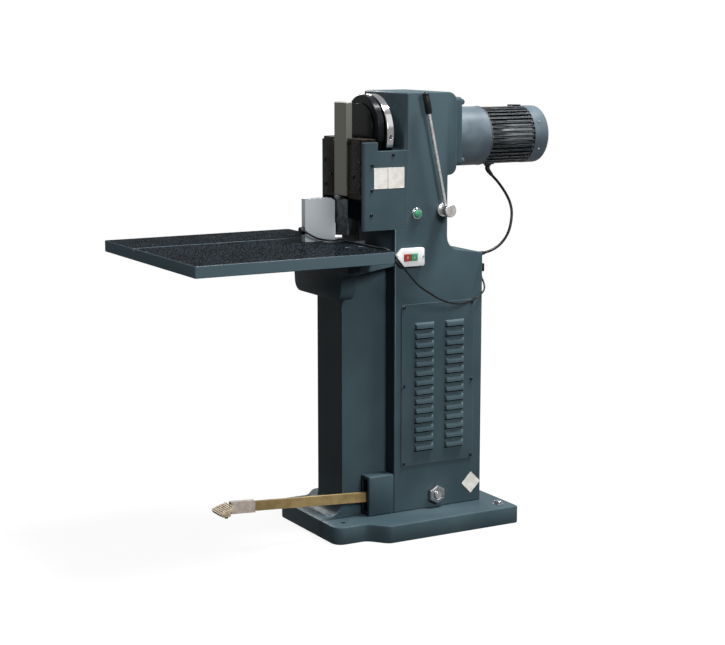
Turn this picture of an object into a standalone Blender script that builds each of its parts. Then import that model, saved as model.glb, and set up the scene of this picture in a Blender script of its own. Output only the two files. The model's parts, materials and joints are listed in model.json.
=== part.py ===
"""Floor-standing corner notching press, modelled in metres with +Z up.

The press stands on the floor at z = 0. The operator faces the table from the
front, which is -Y. The motor is at the back, +Y, and +X is the operator's right.
"""

import math

import bmesh
import bpy
from mathutils import Matrix, Vector

# Shared fits
GAP = 0.0003
OVERRUN = 0.004
WELD = 0.00001

# Base plate
BASE_LENGTH = 0.635
BASE_FRONT_HALF_WIDTH = 0.198
BASE_REAR_HALF_WIDTH = 0.256
BASE_THICKNESS = 0.057
BASE_FRONT_CORNER_RADIUS = 0.034
BASE_REAR_CORNER_RADIUS = 0.010
BASE_FLARE_START_Y = -0.222
BASE_FLARE_END_Y = -0.150
BASE_EDGE_BEVEL = 0.005
ANCHOR_HOLE_RADIUS = 0.009
ANCHOR_REAR_SIDE_INSET = 0.051
ANCHOR_REAR_END_INSET = 0.0455
ANCHOR_FRONT_SIDE_INSET = 0.048
ANCHOR_FRONT_END_INSET = 0.0495
BASE_ROOF = 0.022
BASE_RIM = 0.045
BASE_END_POCKET_HALF_WIDTH = 0.065
RIB_WIDTH = 0.020

# Column casting
BODY_HALF_WIDTH = 0.135
BODY_FRONT_Y = -0.075
BODY_REAR_Y = 0.2485
BODY_WALL = 0.015
BODY_FLOOR = 0.009
SHOULDER_REAR_Z = 0.868
SHOULDER_NECK_Z = 0.888
NECK_REAR_Y = 0.116
NECK_FILLET_RADIUS = 0.045
HEAD_REAR_Y = 0.148
HEAD_UNDERCUT_DROP = 0.257
HEAD_UNDERCUT_RISE = 0.026
HEAD_TOP_Z = 1.375
HEAD_TOP_RADIUS = 0.007
HEAD_BACK_RADIUS = 0.030
HEAD_FACE_Y = -0.031
LEDGE_DROP = 0.175
RECESS_Y = -0.060
RECESS_DROP = 0.275
CASTING_BEVEL = 0.0035
CHAMBER_TOP_Z = 0.840
HATCH_MARGIN = 0.020
NECK_SHAFT_HALF_WIDTH = 0.030
NECK_SHAFT_FRONT_Y = -0.020
NECK_SHAFT_REAR_Y = 0.060
NECK_CAVITY_HALF_WIDTH = 0.102
NECK_CAVITY_FRONT_Y = -0.057
NECK_CAVITY_REAR_Y = 0.070
NECK_CAVITY_DROP = 0.290
HEAD_CAVITY_HALF_WIDTH = 0.115
HEAD_CAVITY_FRONT_Y = -0.005
HEAD_CAVITY_REAR_Y = 0.120
HEAD_CAVITY_DROP = 0.240
HEAD_ROOF = 0.018
BOSS_RADIUS = 0.056

# Front column, nose and table saddle
POST_HALF_WIDTH = 0.081
POST_FRONT_Y = -0.232
POST_FOOT_RADIUS = 0.045
POST_WALL = 0.015
POST_FLOOR = 0.012
NOSE_HALF_WIDTH = 0.154
NOSE_FRONT_Y = -0.276
NOSE_BOTTOM_Z = 0.750
NOSE_CORNER_RADIUS = 0.036
NOSE_FLARE = 0.044
NOSE_RIM = 0.008
NOSE_EDGE_BEVEL = 0.004
SADDLE_HALF_WIDTH = 0.240
SADDLE_FRONT_Y = -0.290
SADDLE_TAPER_Y = -0.256
SADDLE_THICKNESS = 0.040
SADDLE_CORNER_RADIUS = 0.016
SLOT_HALF_WIDTH = 0.045
SLOT_FRONT_Y = -0.222
SLOT_REAR_Y = -0.158
MOUTH_FRONT_Y = -0.200
MOUTH_REAR_Y = -0.108
MOUTH_SILL = 0.040
MOUTH_HEIGHT = 0.120

# Table
TABLE_TOP_Z = 0.920
TABLE_THICKNESS = 0.035
TABLE_HALF_WIDTH = 0.345
TABLE_FRONT_Y = -0.8385
TABLE_REAR_Y = -0.198
TABLE_CORNER_RADIUS = 0.004
TABLE_EDGE_BEVEL = 0.0015
TABLE_GROOVE_X = -0.107
TABLE_GROOVE_WIDTH = 0.010
TABLE_GROOVE_DEPTH = 0.007
TABLE_GROOVE_END_Y = -0.272
TABLE_SCREW_X = 0.187
TABLE_SCREW_FRONT_Y = -0.268
TABLE_SCREW_REAR_Y = -0.224
TABLE_SCREW_RADIUS = 0.009
TABLE_SCREW_DEPTH = 0.010
TABLE_RIM = 0.030
TABLE_POCKET_DEPTH = 0.020

# Die and punch
DIE_HALF_WIDTH = 0.060
DIE_FRONT_Y = -0.262
DIE_REAR_Y = -0.138
PUNCH_APEX_Y = -0.211
PUNCH_SHOULDER_Y = -0.183
PUNCH_BACK_Y = -0.177
PUNCH_HALF_WIDTH = 0.028
PUNCH_BOTTOM_Z = 0.936
PUNCH_DIE_CLEARANCE = 0.0006
HOLDER_HALF_WIDTH = 0.018
HOLDER_FRONT_Y = -0.205
HOLDER_BACK_Y = -0.181
HOLDER_HEIGHT = 0.010

# Ram and its guides
RAM_HALF_WIDTH = 0.038
RAM_FRONT_Y = -0.193
RAM_THICKNESS = 0.022
RAM_BOTTOM_Z = 1.058
RAM_RISE = 0.095
RAM_EDGE_BEVEL = 0.001
RAM_STROKE = 0.025
TONGUE_HALF_WIDTH = 0.0295
TONGUE_BACK_Y = -0.150
TONGUE_DROP = 0.028
RAIL_CLEARANCE = 0.0005
RAIL_FRONT_Y = -0.187
RAIL_BACK_Y = -0.135
RAIL_BOTTOM_Z = 1.052
RAIL_DROP = 0.014
RAIL_CORNER_RADIUS = 0.005
SIDE_PLATE_THICKNESS = 0.014
SIDE_PLATE_FRONT_Y = -0.187
SIDE_PLATE_NOSE_RADIUS = 0.009
SIDE_PLATE_INNER_RADIUS = 0.004
SIDE_PLATE_BOTTOM_Z = 0.958
LUG_REAR_Y = -0.136
LUG_RISE = 0.027

# Crank, eccentric and connecting rod
CRANK_DROP = 0.125
DISC_RADIUS = 0.1185
DISC_FRONT_Y = -0.0925
DISC_THICKNESS = 0.0235
DISC_HUB_RADIUS = 0.046
DISC_HUB_LENGTH = 0.008
DISC_EDGE_CHAMFER = 0.0015
DISC_BAR_HOLE_RADIUS = 0.006
DISC_BAR_HOLE_DEPTH = 0.030
DISC_BAR_HOLE_ANGLE = math.radians(-4.5)
ECCENTRIC_RADIUS = 0.070
ECCENTRIC_FRONT_Y = -0.1185
ECCENTRIC_FLANGE_RADIUS = 0.078
ECCENTRIC_FLANGE_THICKNESS = 0.004
ROD_RING_RADIUS = 0.105
ROD_CLEARANCE = 0.0005
ROD_FRONT_Y = -0.1175
ROD_BACK_Y = -0.0945
ROD_EDGE_BEVEL = 0.002
ROD_EYE_RADIUS = 0.022
WRIST_PIN_DROP = 0.120
WRIST_PIN_RADIUS = 0.010
SHAFT_RADIUS = 0.025
SHAFT_REAR_Y = 0.175
BUSH_WALL = 0.012
CLUTCH_RADIUS = 0.045
CLUTCH_FRONT_Y = 0.008
CLUTCH_LENGTH = 0.046
CLUTCH_TEETH = 8
CLUTCH_TOOTH_DEPTH = 0.006
CLUTCH_TOOTH_WIDTH = 0.014

# Motor, gear head and adapter
MOTOR_DROP = 0.022
ADAPTER_HALF_SIDE = 0.107
ADAPTER_CORNER_RADIUS = 0.012
ADAPTER_SPIGOT_RADIUS = 0.100
ADAPTER_SPIGOT_LENGTH = 0.009
ADAPTER_THICKNESS = 0.028
ADAPTER_EDGE_BEVEL = 0.003
ADAPTER_BORE_DEPTH = 0.032
ADAPTER_BOLT_OFFSET = 0.0915
ADAPTER_BOLT_RADIUS = 0.0095
ADAPTER_BOLT_HEIGHT = 0.012
GEAR_HEAD_RADIUS = 0.094
GEAR_HEAD_REAR_Y = 0.312
GEAR_HEAD_EDGE_RADIUS = 0.007
GEAR_HEAD_EDGE_SHARE = 0.30
MOTOR_FIN_RADIUS = 0.0915
MOTOR_CORE_RADIUS = 0.0800
MOTOR_REAR_Y = 0.475
MOTOR_FINS = 36
MOTOR_FIN_TIP_SHARE = 0.34
MOTOR_FIN_ROOT_SHARE = 0.50
MOTOR_SPIGOT_RADIUS = 0.0870
MOTOR_SPIGOT_LENGTH = 0.012
MOTOR_PAD_HALF_WIDTH = 0.016
MOTOR_PAD_CENTRE_Y = 0.352
MOTOR_PAD_LENGTH = 0.028
MOTOR_PAD_DROP = 0.002
MOTOR_BOSS_CENTRE_Y = 0.452
MOTOR_BOSS_LENGTH = 0.030
MOTOR_BOSS_RISE = 0.005
COWL_RADIUS = 0.0925
COWL_SHEET = 0.002
COWL_REAR_Y = 0.532
COWL_EDGE_RADIUS = 0.012
COWL_SLOTS = 12
COWL_SLOT_WIDTH = 0.006
COWL_SLOT_INNER_RADIUS = 0.022
COWL_SLOT_OUTER_RADIUS = 0.074
ROTOR_RADIUS = 0.007
ROTOR_BORE_DEPTH = 0.040
FAN_RADIUS = 0.070
FAN_HUB_RADIUS = 0.018
FAN_DISC_THICKNESS = 0.002
FAN_BLADE_HEIGHT = 0.020
FAN_BLADE_THICKNESS = 0.002
FAN_BLADES = 8

# Louvred cover
COVER_FRONT_Y = -0.051
COVER_REAR_Y = 0.215
COVER_BOTTOM_Z = 0.205
COVER_TOP_Z = 0.721
COVER_THICKNESS = 0.003
COVER_CORNER_RADIUS = 0.006
LOUVRE_ROWS = 14
LOUVRE_FIRST_Z = 0.262
LOUVRE_LAST_Z = 0.652
LOUVRE_WIDTH = 0.072
LOUVRE_CENTRES_Y = (0.0305, 0.1425)
LOUVRE_HEIGHT = 0.018
LOUVRE_DEPTH = 0.009
LOUVRE_SKIN = 0.0012
LOUVRE_ARC_STEPS = 4
LOUVRE_TAPER_SHARE = 0.16
COVER_SCREW_INSET = 0.007
COVER_SCREW_RADIUS = 0.0045
COVER_SCREW_HEAD = 0.0015

# Pedal
PEDAL_PIVOT_Y = 0.078
PEDAL_PIVOT_Z = 0.100
PEDAL_X = 0.108
PEDAL_BAR_THICKNESS = 0.012
PEDAL_BAR_HEIGHT = 0.030
PEDAL_BAR_FRONT_Y = -0.632
PEDAL_BAR_SLOPE = 0.0640
PEDAL_HUB_RADIUS = 0.026
PEDAL_HUB_WIDTH = 0.020
PEDAL_SHAFT_RADIUS = 0.012
PEDAL_SHAFT_END = 0.156
PEDAL_NUT_RADIUS = 0.025
PEDAL_NUT_WIDTH = 0.013
PEDAL_NUT_CHAMFER = 0.003
PEDAL_SLEEVE_WIDTH = 0.019
PEDAL_SLEEVE_HEIGHT = 0.037
PEDAL_SLEEVE_LENGTH = 0.080
PEDAL_PAD_WIDTH = 0.072
PEDAL_PAD_LENGTH = 0.054
PEDAL_PAD_THICKNESS = 0.008
PEDAL_PAD_CENTRE_Y = -0.654
PEDAL_PAD_CENTRE_Z = 0.147
PEDAL_PAD_TILT = math.radians(19.0)
PEDAL_PAD_CORNER_RADIUS = 0.008
PEDAL_TREADS = 7
PEDAL_TREAD_HEIGHT = 0.0025
PEDAL_TREAD_WIDTH = 0.0035
PEDAL_LUG_LENGTH = 0.026
PEDAL_LUG_DEPTH = 0.024
HOUSING_FRONT_Y = -0.165
HOUSING_TOP_Z = 0.184
HOUSING_EDGE_BEVEL = 0.004
PEDAL_SLOT_HALF_WIDTH = 0.0145
PEDAL_SLOT_BOTTOM_Z = 0.067
PEDAL_SLOT_TOP_Z = 0.172

# Clutch linkage in the column
PULL_ROD_Y = 0.020
PULL_ROD_RADIUS = 0.006
PULL_ROD_DROP = 0.060
ARM_THICKNESS = 0.012
ARM_HUB_RADIUS = 0.024
ARM_EYE_RADIUS = 0.013
ARM_EYE_CLEARANCE = 0.0012
CLEVIS_PIN_RADIUS = 0.005
CLEVIS_WALL = 0.006
CLEVIS_SIDE_CLEARANCE = 0.001
CLEVIS_TOP_CLEARANCE = 0.006
CLEVIS_HALF_DEPTH = 0.010
CLEVIS_DROP = 0.012
CLEVIS_TOP_Z = 0.128
SEAT_Z = 0.300
SEAT_THICKNESS = 0.008
SEAT_HALF_DEPTH = 0.024
SEAT_FLANGE_HEIGHT = 0.050
SEAT_HOLE_CLEARANCE = 0.002
SPRING_MEAN_RADIUS = 0.0125
SPRING_WIRE_RADIUS = 0.0015
SPRING_LENGTH = 0.086
SPRING_CURLS = 12
SPRING_POINTS_PER_CURL = 10
COLLAR_RADIUS = 0.019
COLLAR_HEIGHT = 0.012
WEDGE_HALF_WIDTH = 0.010
WEDGE_HEIGHT = 0.013
WEDGE_TIP_SHARE = 0.45

# Hand lever
LEVER_AXIS_Y = 0.094
LEVER_AXIS_Z = 1.012
LEVER_BOSS_RADIUS = 0.021
LEVER_BOSS_LENGTH = 0.011
LEVER_HUB_RADIUS = 0.0165
LEVER_HUB_LENGTH = 0.030
LEVER_KNOB_RADIUS = 0.0195
LEVER_KNOB_LENGTH = 0.014
LEVER_KNOB_CHAMFER = 0.002
LEVER_SHAFT_RADIUS = 0.008
LEVER_SHAFT_DEPTH = 0.050
LEVER_ROD_RADIUS = 0.0055
LEVER_LENGTH = 0.3735
LEVER_LEAN = math.radians(12.2)
GRIP_LENGTH = 0.068
GRIP_RADIUS = 0.0100
GRIP_END_ROUNDING = 0.004
GRIP_BORE_DEPTH = 0.050

# Push button on the neck
BUTTON_Y = 0.002
BUTTON_Z = 1.004
BEZEL_RADIUS = 0.0175
BEZEL_HEIGHT = 0.008
BEZEL_LIP = 0.004
BUTTON_RADIUS = 0.0125
BUTTON_PROUD = 0.0045
BUTTON_DOME_SHARE = 0.80
BUTTON_DOME_DROP_SHARE = 0.15
BUTTON_HEAD_DEPTH = 0.007
BUTTON_STEM_RADIUS = 0.007
BUTTON_STEM_LENGTH = 0.018
BUTTON_BORE_DEPTH = 0.026

# Switch box
SWITCH_FRONT_Y = -0.0745
SWITCH_REAR_Y = 0.022
SWITCH_BOTTOM_Z = 0.842
SWITCH_TOP_Z = 0.899
SWITCH_DEPTH = 0.018
SWITCH_CORNER_RADIUS = 0.006
SWITCH_TAPER_Y = 0.020
SWITCH_TAPER_Z = 0.020
SWITCH_EDGE_BEVEL = 0.002
SWITCH_BUTTON_WIDTH = 0.0235
SWITCH_BUTTON_HEIGHT = 0.022
SWITCH_BUTTON_Z = 0.871
SWITCH_RED_Y = -0.0410
SWITCH_GREEN_Y = -0.0160
SWITCH_POCKET_DEPTH = 0.009
SWITCH_BUTTON_PROUD = 0.003
SWITCH_BUTTON_DEPTH = 0.008
SWITCH_BUTTON_BEVEL = 0.0012

# Guard in front of the punch
GUARD_HALF_WIDTH = 0.012
GUARD_FRONT_Y = -0.322
GUARD_REAR_Y = -0.218
GUARD_HEIGHT = 0.133
GUARD_SHEET = 0.002
GUARD_CORNER_CUT_Y = 0.014
GUARD_CORNER_CUT_Z = 0.008
GUARD_FOOT_HEIGHT = 0.003
GUARD_GLAND_Z = 0.955
GUARD_GLAND_RADIUS = 0.012
GUARD_GLAND_LENGTH = 0.012
GUARD_OUTLET_LENGTH = 0.003

# Cable glands and cords
GLAND_BASE_RADIUS = 0.012
GLAND_NOSE_RADIUS = 0.008
GLAND_LENGTH = 0.021
GLAND_BASE_SHARE = 0.45
MOTOR_GLAND_LENGTH = 0.010
REAR_GLAND_X = 0.060
REAR_GLAND_Z = 0.853
ELBOW_X = 0.098
ELBOW_Z = 0.815
ELBOW_HALF_SIZE = 0.013
ELBOW_DEPTH = 0.024
ELBOW_BEVEL = 0.003
MOTOR_CORD_RADIUS = 0.0045
GUARD_CORD_RADIUS = 0.0030
CORD_SPACING = 2.4
ROUTE_FINE_STEPS = 16

# The motor cord's third values are shares of its drop from the motor to the column.
MOTOR_CORD_ROUTE = (
    (0.000, 0.3520, 0.000),
    (0.000, 0.3520, 0.020),
    (0.003, 0.3640, 0.082),
    (0.008, 0.3870, 0.175),
    (0.015, 0.4110, 0.300),
    (0.022, 0.4270, 0.430),
    (0.030, 0.4290, 0.555),
    (0.040, 0.4130, 0.750),
    (0.049, 0.3810, 0.885),
    (0.056, 0.3410, 0.963),
    (0.060, 0.3000, 0.996),
    (0.060, 0.2770, 1.000),
    (0.060, 0.2701, 1.000),
)
GUARD_CORD_ROUTE = (
    (0.0153, -0.3283, 0.9550),
    (0.0210, -0.3283, 0.9550),
    (0.0290, -0.3170, 0.9470),
    (0.0290, -0.2950, 0.9350),
    (0.0280, -0.2700, 0.9275),
    (0.0300, -0.2450, 0.9238),
    (0.0400, -0.2240, 0.9233),
    (0.0600, -0.2100, 0.9233),
    (0.0900, -0.2050, 0.9233),
    (0.1400, -0.2040, 0.9233),
    (0.2000, -0.2040, 0.9233),
    (0.2550, -0.2030, 0.9233),
    (0.2820, -0.1990, 0.9235),
    (0.2940, -0.1850, 0.9160),
    (0.2900, -0.1640, 0.8960),
    (0.2810, -0.1370, 0.8700),
    (0.2700, -0.1080, 0.8415),
    (0.2537, -0.0622, 0.8005),
    (0.2342, -0.0083, 0.7683),
    (0.2172, 0.0385, 0.7441),
    (0.1965, 0.0956, 0.7245),
    (0.1790, 0.1480, 0.7170),
    (0.1620, 0.1940, 0.7220),
    (0.1490, 0.2290, 0.7330),
    (0.1360, 0.2530, 0.7450),
    (0.1200, 0.2660, 0.7580),
    (0.1060, 0.2690, 0.7730),
    (0.0980, 0.2608, 0.7955),
    (0.0980, 0.2608, 0.8015),
)

ROUND_STEPS = 40
SMALL_ROUND_STEPS = 20
ARC_STEPS = 5
CORD_BEVEL_RESOLUTION = 2
SPRING_BEVEL_RESOLUTION = 1

# Heights that follow from the head
LEDGE_Z = HEAD_TOP_Z - LEDGE_DROP
RECESS_BOTTOM_Z = HEAD_TOP_Z - RECESS_DROP
HEAD_UNDERCUT_Z = HEAD_TOP_Z - HEAD_UNDERCUT_DROP
NECK_CAVITY_TOP_Z = HEAD_TOP_Z - NECK_CAVITY_DROP
HEAD_CAVITY_BOTTOM_Z = HEAD_TOP_Z - HEAD_CAVITY_DROP
HEAD_CAVITY_TOP_Z = HEAD_TOP_Z - HEAD_ROOF
LUG_TOP_Z = LEDGE_Z + LUG_RISE
CRANK_AXIS_Z = HEAD_TOP_Z - CRANK_DROP
MOTOR_AXIS_Z = CRANK_AXIS_Z - MOTOR_DROP
WRIST_PIN_Z = CRANK_AXIS_Z - WRIST_PIN_DROP
RAM_TOP_Z = CRANK_AXIS_Z + RAM_RISE
TONGUE_TOP_Z = CRANK_AXIS_Z - TONGUE_DROP
RAIL_TOP_Z = CRANK_AXIS_Z - RAIL_DROP
PULL_ROD_TOP_Z = CRANK_AXIS_Z - PULL_ROD_DROP

# Heights that follow from the stack of castings
CASTING_FOOT_Z = BASE_THICKNESS + GAP
TABLE_UNDERSIDE_Z = TABLE_TOP_Z - TABLE_THICKNESS
SADDLE_TOP_Z = TABLE_UNDERSIDE_Z - GAP
POST_TOP_Z = SADDLE_TOP_Z - SADDLE_THICKNESS - GAP
ECCENTRICITY = RAM_STROKE / 2
ECCENTRIC_AXIS_Z = CRANK_AXIS_Z + ECCENTRICITY
PLATE_INNER_X = BODY_HALF_WIDTH - SIDE_PLATE_THICKNESS
PULL_ARM_LENGTH = PEDAL_PIVOT_Y - PULL_ROD_Y
CHAMBER_FLOOR_Z = CASTING_FOOT_Z + BODY_FLOOR
POST_FLOOR_Z = CASTING_FOOT_Z + POST_FLOOR

PAINT = (0.068, 0.098, 0.115)
DARK_PAINT = (0.010, 0.011, 0.013)
BRIGHT_STEEL = (0.60, 0.60, 0.60)
BRUSHED_STEEL = (0.17, 0.17, 0.15)
TOOL_STEEL = (0.10, 0.11, 0.12)
CAST_ALUMINIUM = (0.25, 0.29, 0.31)
LIGHT_GREY = (0.50, 0.54, 0.57)
BLACK_PLASTIC = (0.008, 0.008, 0.009)
WHITE_PLASTIC = (0.80, 0.81, 0.80)
RED_PLASTIC = (0.42, 0.05, 0.05)
GREEN_PLASTIC = (0.03, 0.26, 0.14)
MUSTARD_PAINT = (0.30, 0.19, 0.06)
BRONZE = (0.40, 0.24, 0.09)


def clear_scene():
    """Remove every object that the file starts with."""
    for obj in list(bpy.data.objects):
        bpy.data.objects.remove(obj, do_unlink=True)


def make_collection(name):
    """Make a collection under the scene's own one."""
    collection = bpy.data.collections.new(name)
    bpy.context.scene.collection.children.link(collection)
    return collection


def make_material(name, colour, roughness, metallic):
    """Make a plain Principled material."""
    material = bpy.data.materials.new(name)
    material.use_nodes = True
    shader = material.node_tree.nodes["Principled BSDF"]
    shader.inputs["Base Color"].default_value = (*colour, 1.0)
    shader.inputs["Roughness"].default_value = roughness
    shader.inputs["Metallic"].default_value = metallic
    return material


clear_scene()
PRESS = make_collection("corner_notcher")
CUTTERS = make_collection("cutters")


def mesh_object(name, mesh, collection):
    """Link a mesh as an object, with its faces pointing out."""
    shape = bmesh.new()
    shape.from_mesh(mesh)
    bmesh.ops.remove_doubles(shape, verts=shape.verts, dist=WELD)
    bmesh.ops.recalc_face_normals(shape, faces=shape.faces)
    shape.to_mesh(mesh)
    shape.free()
    obj = bpy.data.objects.new(name, mesh)
    collection.objects.link(obj)
    if collection is CUTTERS:
        obj.hide_render = True
        obj.display_type = "WIRE"
    return obj


def evaluated_mesh(source):
    """Return a new mesh of an object as its modifiers or curve settings make it."""
    graph = bpy.context.evaluated_depsgraph_get()
    return bpy.data.meshes.new_from_object(source.evaluated_get(graph))


def block(name, x_span, y_span, z_span, collection=None):
    """Make a box between two values on each axis."""
    shape = bmesh.new()
    bmesh.ops.create_cube(shape, size=1.0)
    spans = (x_span, y_span, z_span)
    sizes = [high - low for low, high in spans]
    middle = Vector([(low + high) / 2 for low, high in spans])
    bmesh.ops.scale(shape, vec=sizes, verts=shape.verts)
    bmesh.ops.translate(shape, vec=middle, verts=shape.verts)
    mesh = bpy.data.meshes.new(name)
    shape.to_mesh(mesh)
    shape.free()
    return mesh_object(name, mesh, collection or PRESS)


AXIS_TURN = {
    "X": Matrix.Rotation(math.radians(90), 4, "Y"),
    "Y": Matrix.Rotation(math.radians(-90), 4, "X"),
    "Z": Matrix.Identity(4),
}

PLANE_TURN = {
    "XY": Matrix(((1, 0, 0, 0), (0, 1, 0, 0), (0, 0, 1, 0), (0, 0, 0, 1))),
    "YZ": Matrix(((0, 0, 1, 0), (1, 0, 0, 0), (0, 1, 0, 0), (0, 0, 0, 1))),
    "XZ": Matrix(((1, 0, 0, 0), (0, 0, -1, 0), (0, 1, 0, 0), (0, 0, 0, 1))),
}


def cylinder(name, axis, centre, radius, span, collection=None, steps=SMALL_ROUND_STEPS):
    """Make a round bar along an axis between two values of that axis."""
    low, high = span
    shape = bmesh.new()
    bmesh.ops.create_cone(
        shape, cap_ends=True, segments=steps, radius1=radius, radius2=radius, depth=high - low
    )
    index = "XYZ".index(axis)
    place = Vector(centre)
    place[index] = (low + high) / 2
    bmesh.ops.transform(shape, matrix=Matrix.Translation(place) @ AXIS_TURN[axis], verts=shape.verts)
    mesh = bpy.data.meshes.new(name)
    shape.to_mesh(mesh)
    shape.free()
    obj = mesh_object(name, mesh, collection or PRESS)
    smooth(obj)
    return obj


def turned(name, axis, centre, profile, collection=None, steps=ROUND_STEPS):
    """Turn a profile of (radius, place along the axis) pairs round an axis.

    The pairs run from the high end of the axis to the low end along the outer side.
    """
    mesh = bpy.data.meshes.new(name + "_profile")
    points = [(radius, 0.0, along) for radius, along in profile]
    closed = profile[0][0] > 0 and profile[-1][0] > 0
    edges = [(i, i + 1) for i in range(len(points) - 1)]
    if closed:
        edges.append((len(points) - 1, 0))
    mesh.from_pydata(points, edges, [])
    half = bpy.data.objects.new(name + "_half", mesh)
    CUTTERS.objects.link(half)
    screw = half.modifiers.new("turn", "SCREW")
    screw.axis = "Z"
    screw.steps = steps
    screw.render_steps = steps
    screw.use_merge_vertices = True
    screw.merge_threshold = WELD
    solid = evaluated_mesh(half)
    bpy.data.objects.remove(half, do_unlink=True)
    place = Vector(centre)
    place["XYZ".index(axis)] = 0
    solid.transform(Matrix.Translation(place) @ AXIS_TURN[axis])
    obj = mesh_object(name, solid, collection or PRESS)
    smooth(obj)
    return obj


def prism(name, outline, plane, span, collection=None):
    """Extrude a flat outline square to its plane between two values."""
    low, high = span
    curve = bpy.data.curves.new(name + "_outline", "CURVE")
    curve.dimensions = "2D"
    curve.fill_mode = "BOTH"
    curve.extrude = (high - low) / 2
    spline = curve.splines.new("POLY")
    spline.points.add(len(outline) - 1)
    for point, (u, v) in zip(spline.points, outline):
        point.co = (u, v, 0.0, 1.0)
    spline.use_cyclic_u = True
    flat = bpy.data.objects.new(name + "_outline", curve)
    CUTTERS.objects.link(flat)
    solid = evaluated_mesh(flat)
    bpy.data.objects.remove(flat, do_unlink=True)
    middle = (low + high) / 2
    if plane == "XZ":
        middle = -middle
    solid.transform(PLANE_TURN[plane] @ Matrix.Translation((0.0, 0.0, middle)))
    obj = mesh_object(name, solid, collection or PRESS)
    shape = bmesh.new()
    shape.from_mesh(obj.data)
    bmesh.ops.dissolve_limit(
        shape, angle_limit=math.radians(1.0), verts=shape.verts, edges=shape.edges
    )
    shape.to_mesh(obj.data)
    shape.free()
    return obj


def rounded(corners, steps=ARC_STEPS):
    """Round the corners of an outline.

    Each corner is (u, v) for a sharp one or (u, v, radius) for a round one.
    """
    outline = []
    count = len(corners)
    for index, corner in enumerate(corners):
        here = Vector(corner[:2])
        if len(corner) == 2:
            outline.append(tuple(here))
            continue
        radius = corner[2]
        before = (Vector(corners[index - 1][:2]) - here).normalized()
        after = (Vector(corners[(index + 1) % count][:2]) - here).normalized()
        half_angle = before.angle(after) / 2
        reach = radius / math.tan(half_angle)
        centre = here + (before + after).normalized() * radius / math.sin(half_angle)
        start = here + before * reach - centre
        sweep = math.pi - 2 * half_angle
        turn = -1.0 if before.cross(after) > 0 else 1.0
        for step in range(steps + 1):
            angle = turn * sweep * step / steps
            cos, sin = math.cos(angle), math.sin(angle)
            outline.append((
                centre.x + start.x * cos - start.y * sin,
                centre.y + start.x * sin + start.y * cos,
            ))
    return outline


def mirrored(half):
    """Close an outline from its +u half, which runs from low v to high v."""
    return half + [(-u, v) for u, v in reversed(half)]


def circle_arc(centre, radius, start, end, steps):
    """List points on an arc, both ends included."""
    u, v = centre
    return [
        (u + radius * math.cos(start + (end - start) * i / steps),
         v + radius * math.sin(start + (end - start) * i / steps))
        for i in range(steps + 1)
    ]


def smooth(obj, angle=math.radians(35)):
    """Shade round faces smooth and keep edges over the angle sharp."""
    obj.data.shade_smooth()
    obj.data.set_sharp_from_angle(angle=angle)


def bevel(obj, width, segments=2):
    """Round the sharp edges of a solid."""
    modifier = obj.modifiers.new("edge", "BEVEL")
    modifier.width = width
    modifier.segments = segments
    modifier.limit_method = "ANGLE"
    modifier.angle_limit = math.radians(40)
    return obj


def combine(obj, other, operation):
    """Join or cut one solid with another, which becomes a guide."""
    modifier = obj.modifiers.new(operation.lower(), "BOOLEAN")
    modifier.operation = operation
    modifier.solver = "EXACT"
    modifier.object = other
    return obj


def add(obj, other):
    """Join a solid to another."""
    return combine(obj, other, "UNION")


def cut(obj, other):
    """Cut a solid with another."""
    return combine(obj, other, "DIFFERENCE")


def joined(name, pieces, collection=None):
    """Put several apart solids into one mesh, for use as one cutter."""
    shape = bmesh.new()
    for piece in pieces:
        shape.from_mesh(piece.data)
        bpy.data.objects.remove(piece, do_unlink=True)
    mesh = bpy.data.meshes.new(name)
    shape.to_mesh(mesh)
    shape.free()
    return mesh_object(name, mesh, collection or CUTTERS)


def pocket_grid(name, x_span, y_span, counts, z_span):
    """A grid of open pockets with ribs between them, as one cutter."""
    columns, rows = counts
    width = (x_span[1] - x_span[0] - RIB_WIDTH * (columns - 1)) / columns
    depth = (y_span[1] - y_span[0] - RIB_WIDTH * (rows - 1)) / rows
    pockets = []
    for column in range(columns):
        x = x_span[0] + column * (width + RIB_WIDTH)
        for row in range(rows):
            y = y_span[0] + row * (depth + RIB_WIDTH)
            pockets.append(block("pocket", (x, x + width), (y, y + depth), z_span, CUTTERS))
    return joined(name, pockets)


def finish(obj, material):
    """Give a piece its material."""
    obj.data.materials.clear()
    obj.data.materials.append(material)
    return obj


def hang_on(axis_name, point, pieces):
    """Parent moving pieces to an empty on their joint axis."""
    empty = bpy.data.objects.new(axis_name, None)
    empty.location = point
    PRESS.objects.link(empty)
    for piece in pieces:
        piece.parent = empty
        piece.matrix_parent_inverse = Matrix.Translation(-Vector(point))
    return empty


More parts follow.
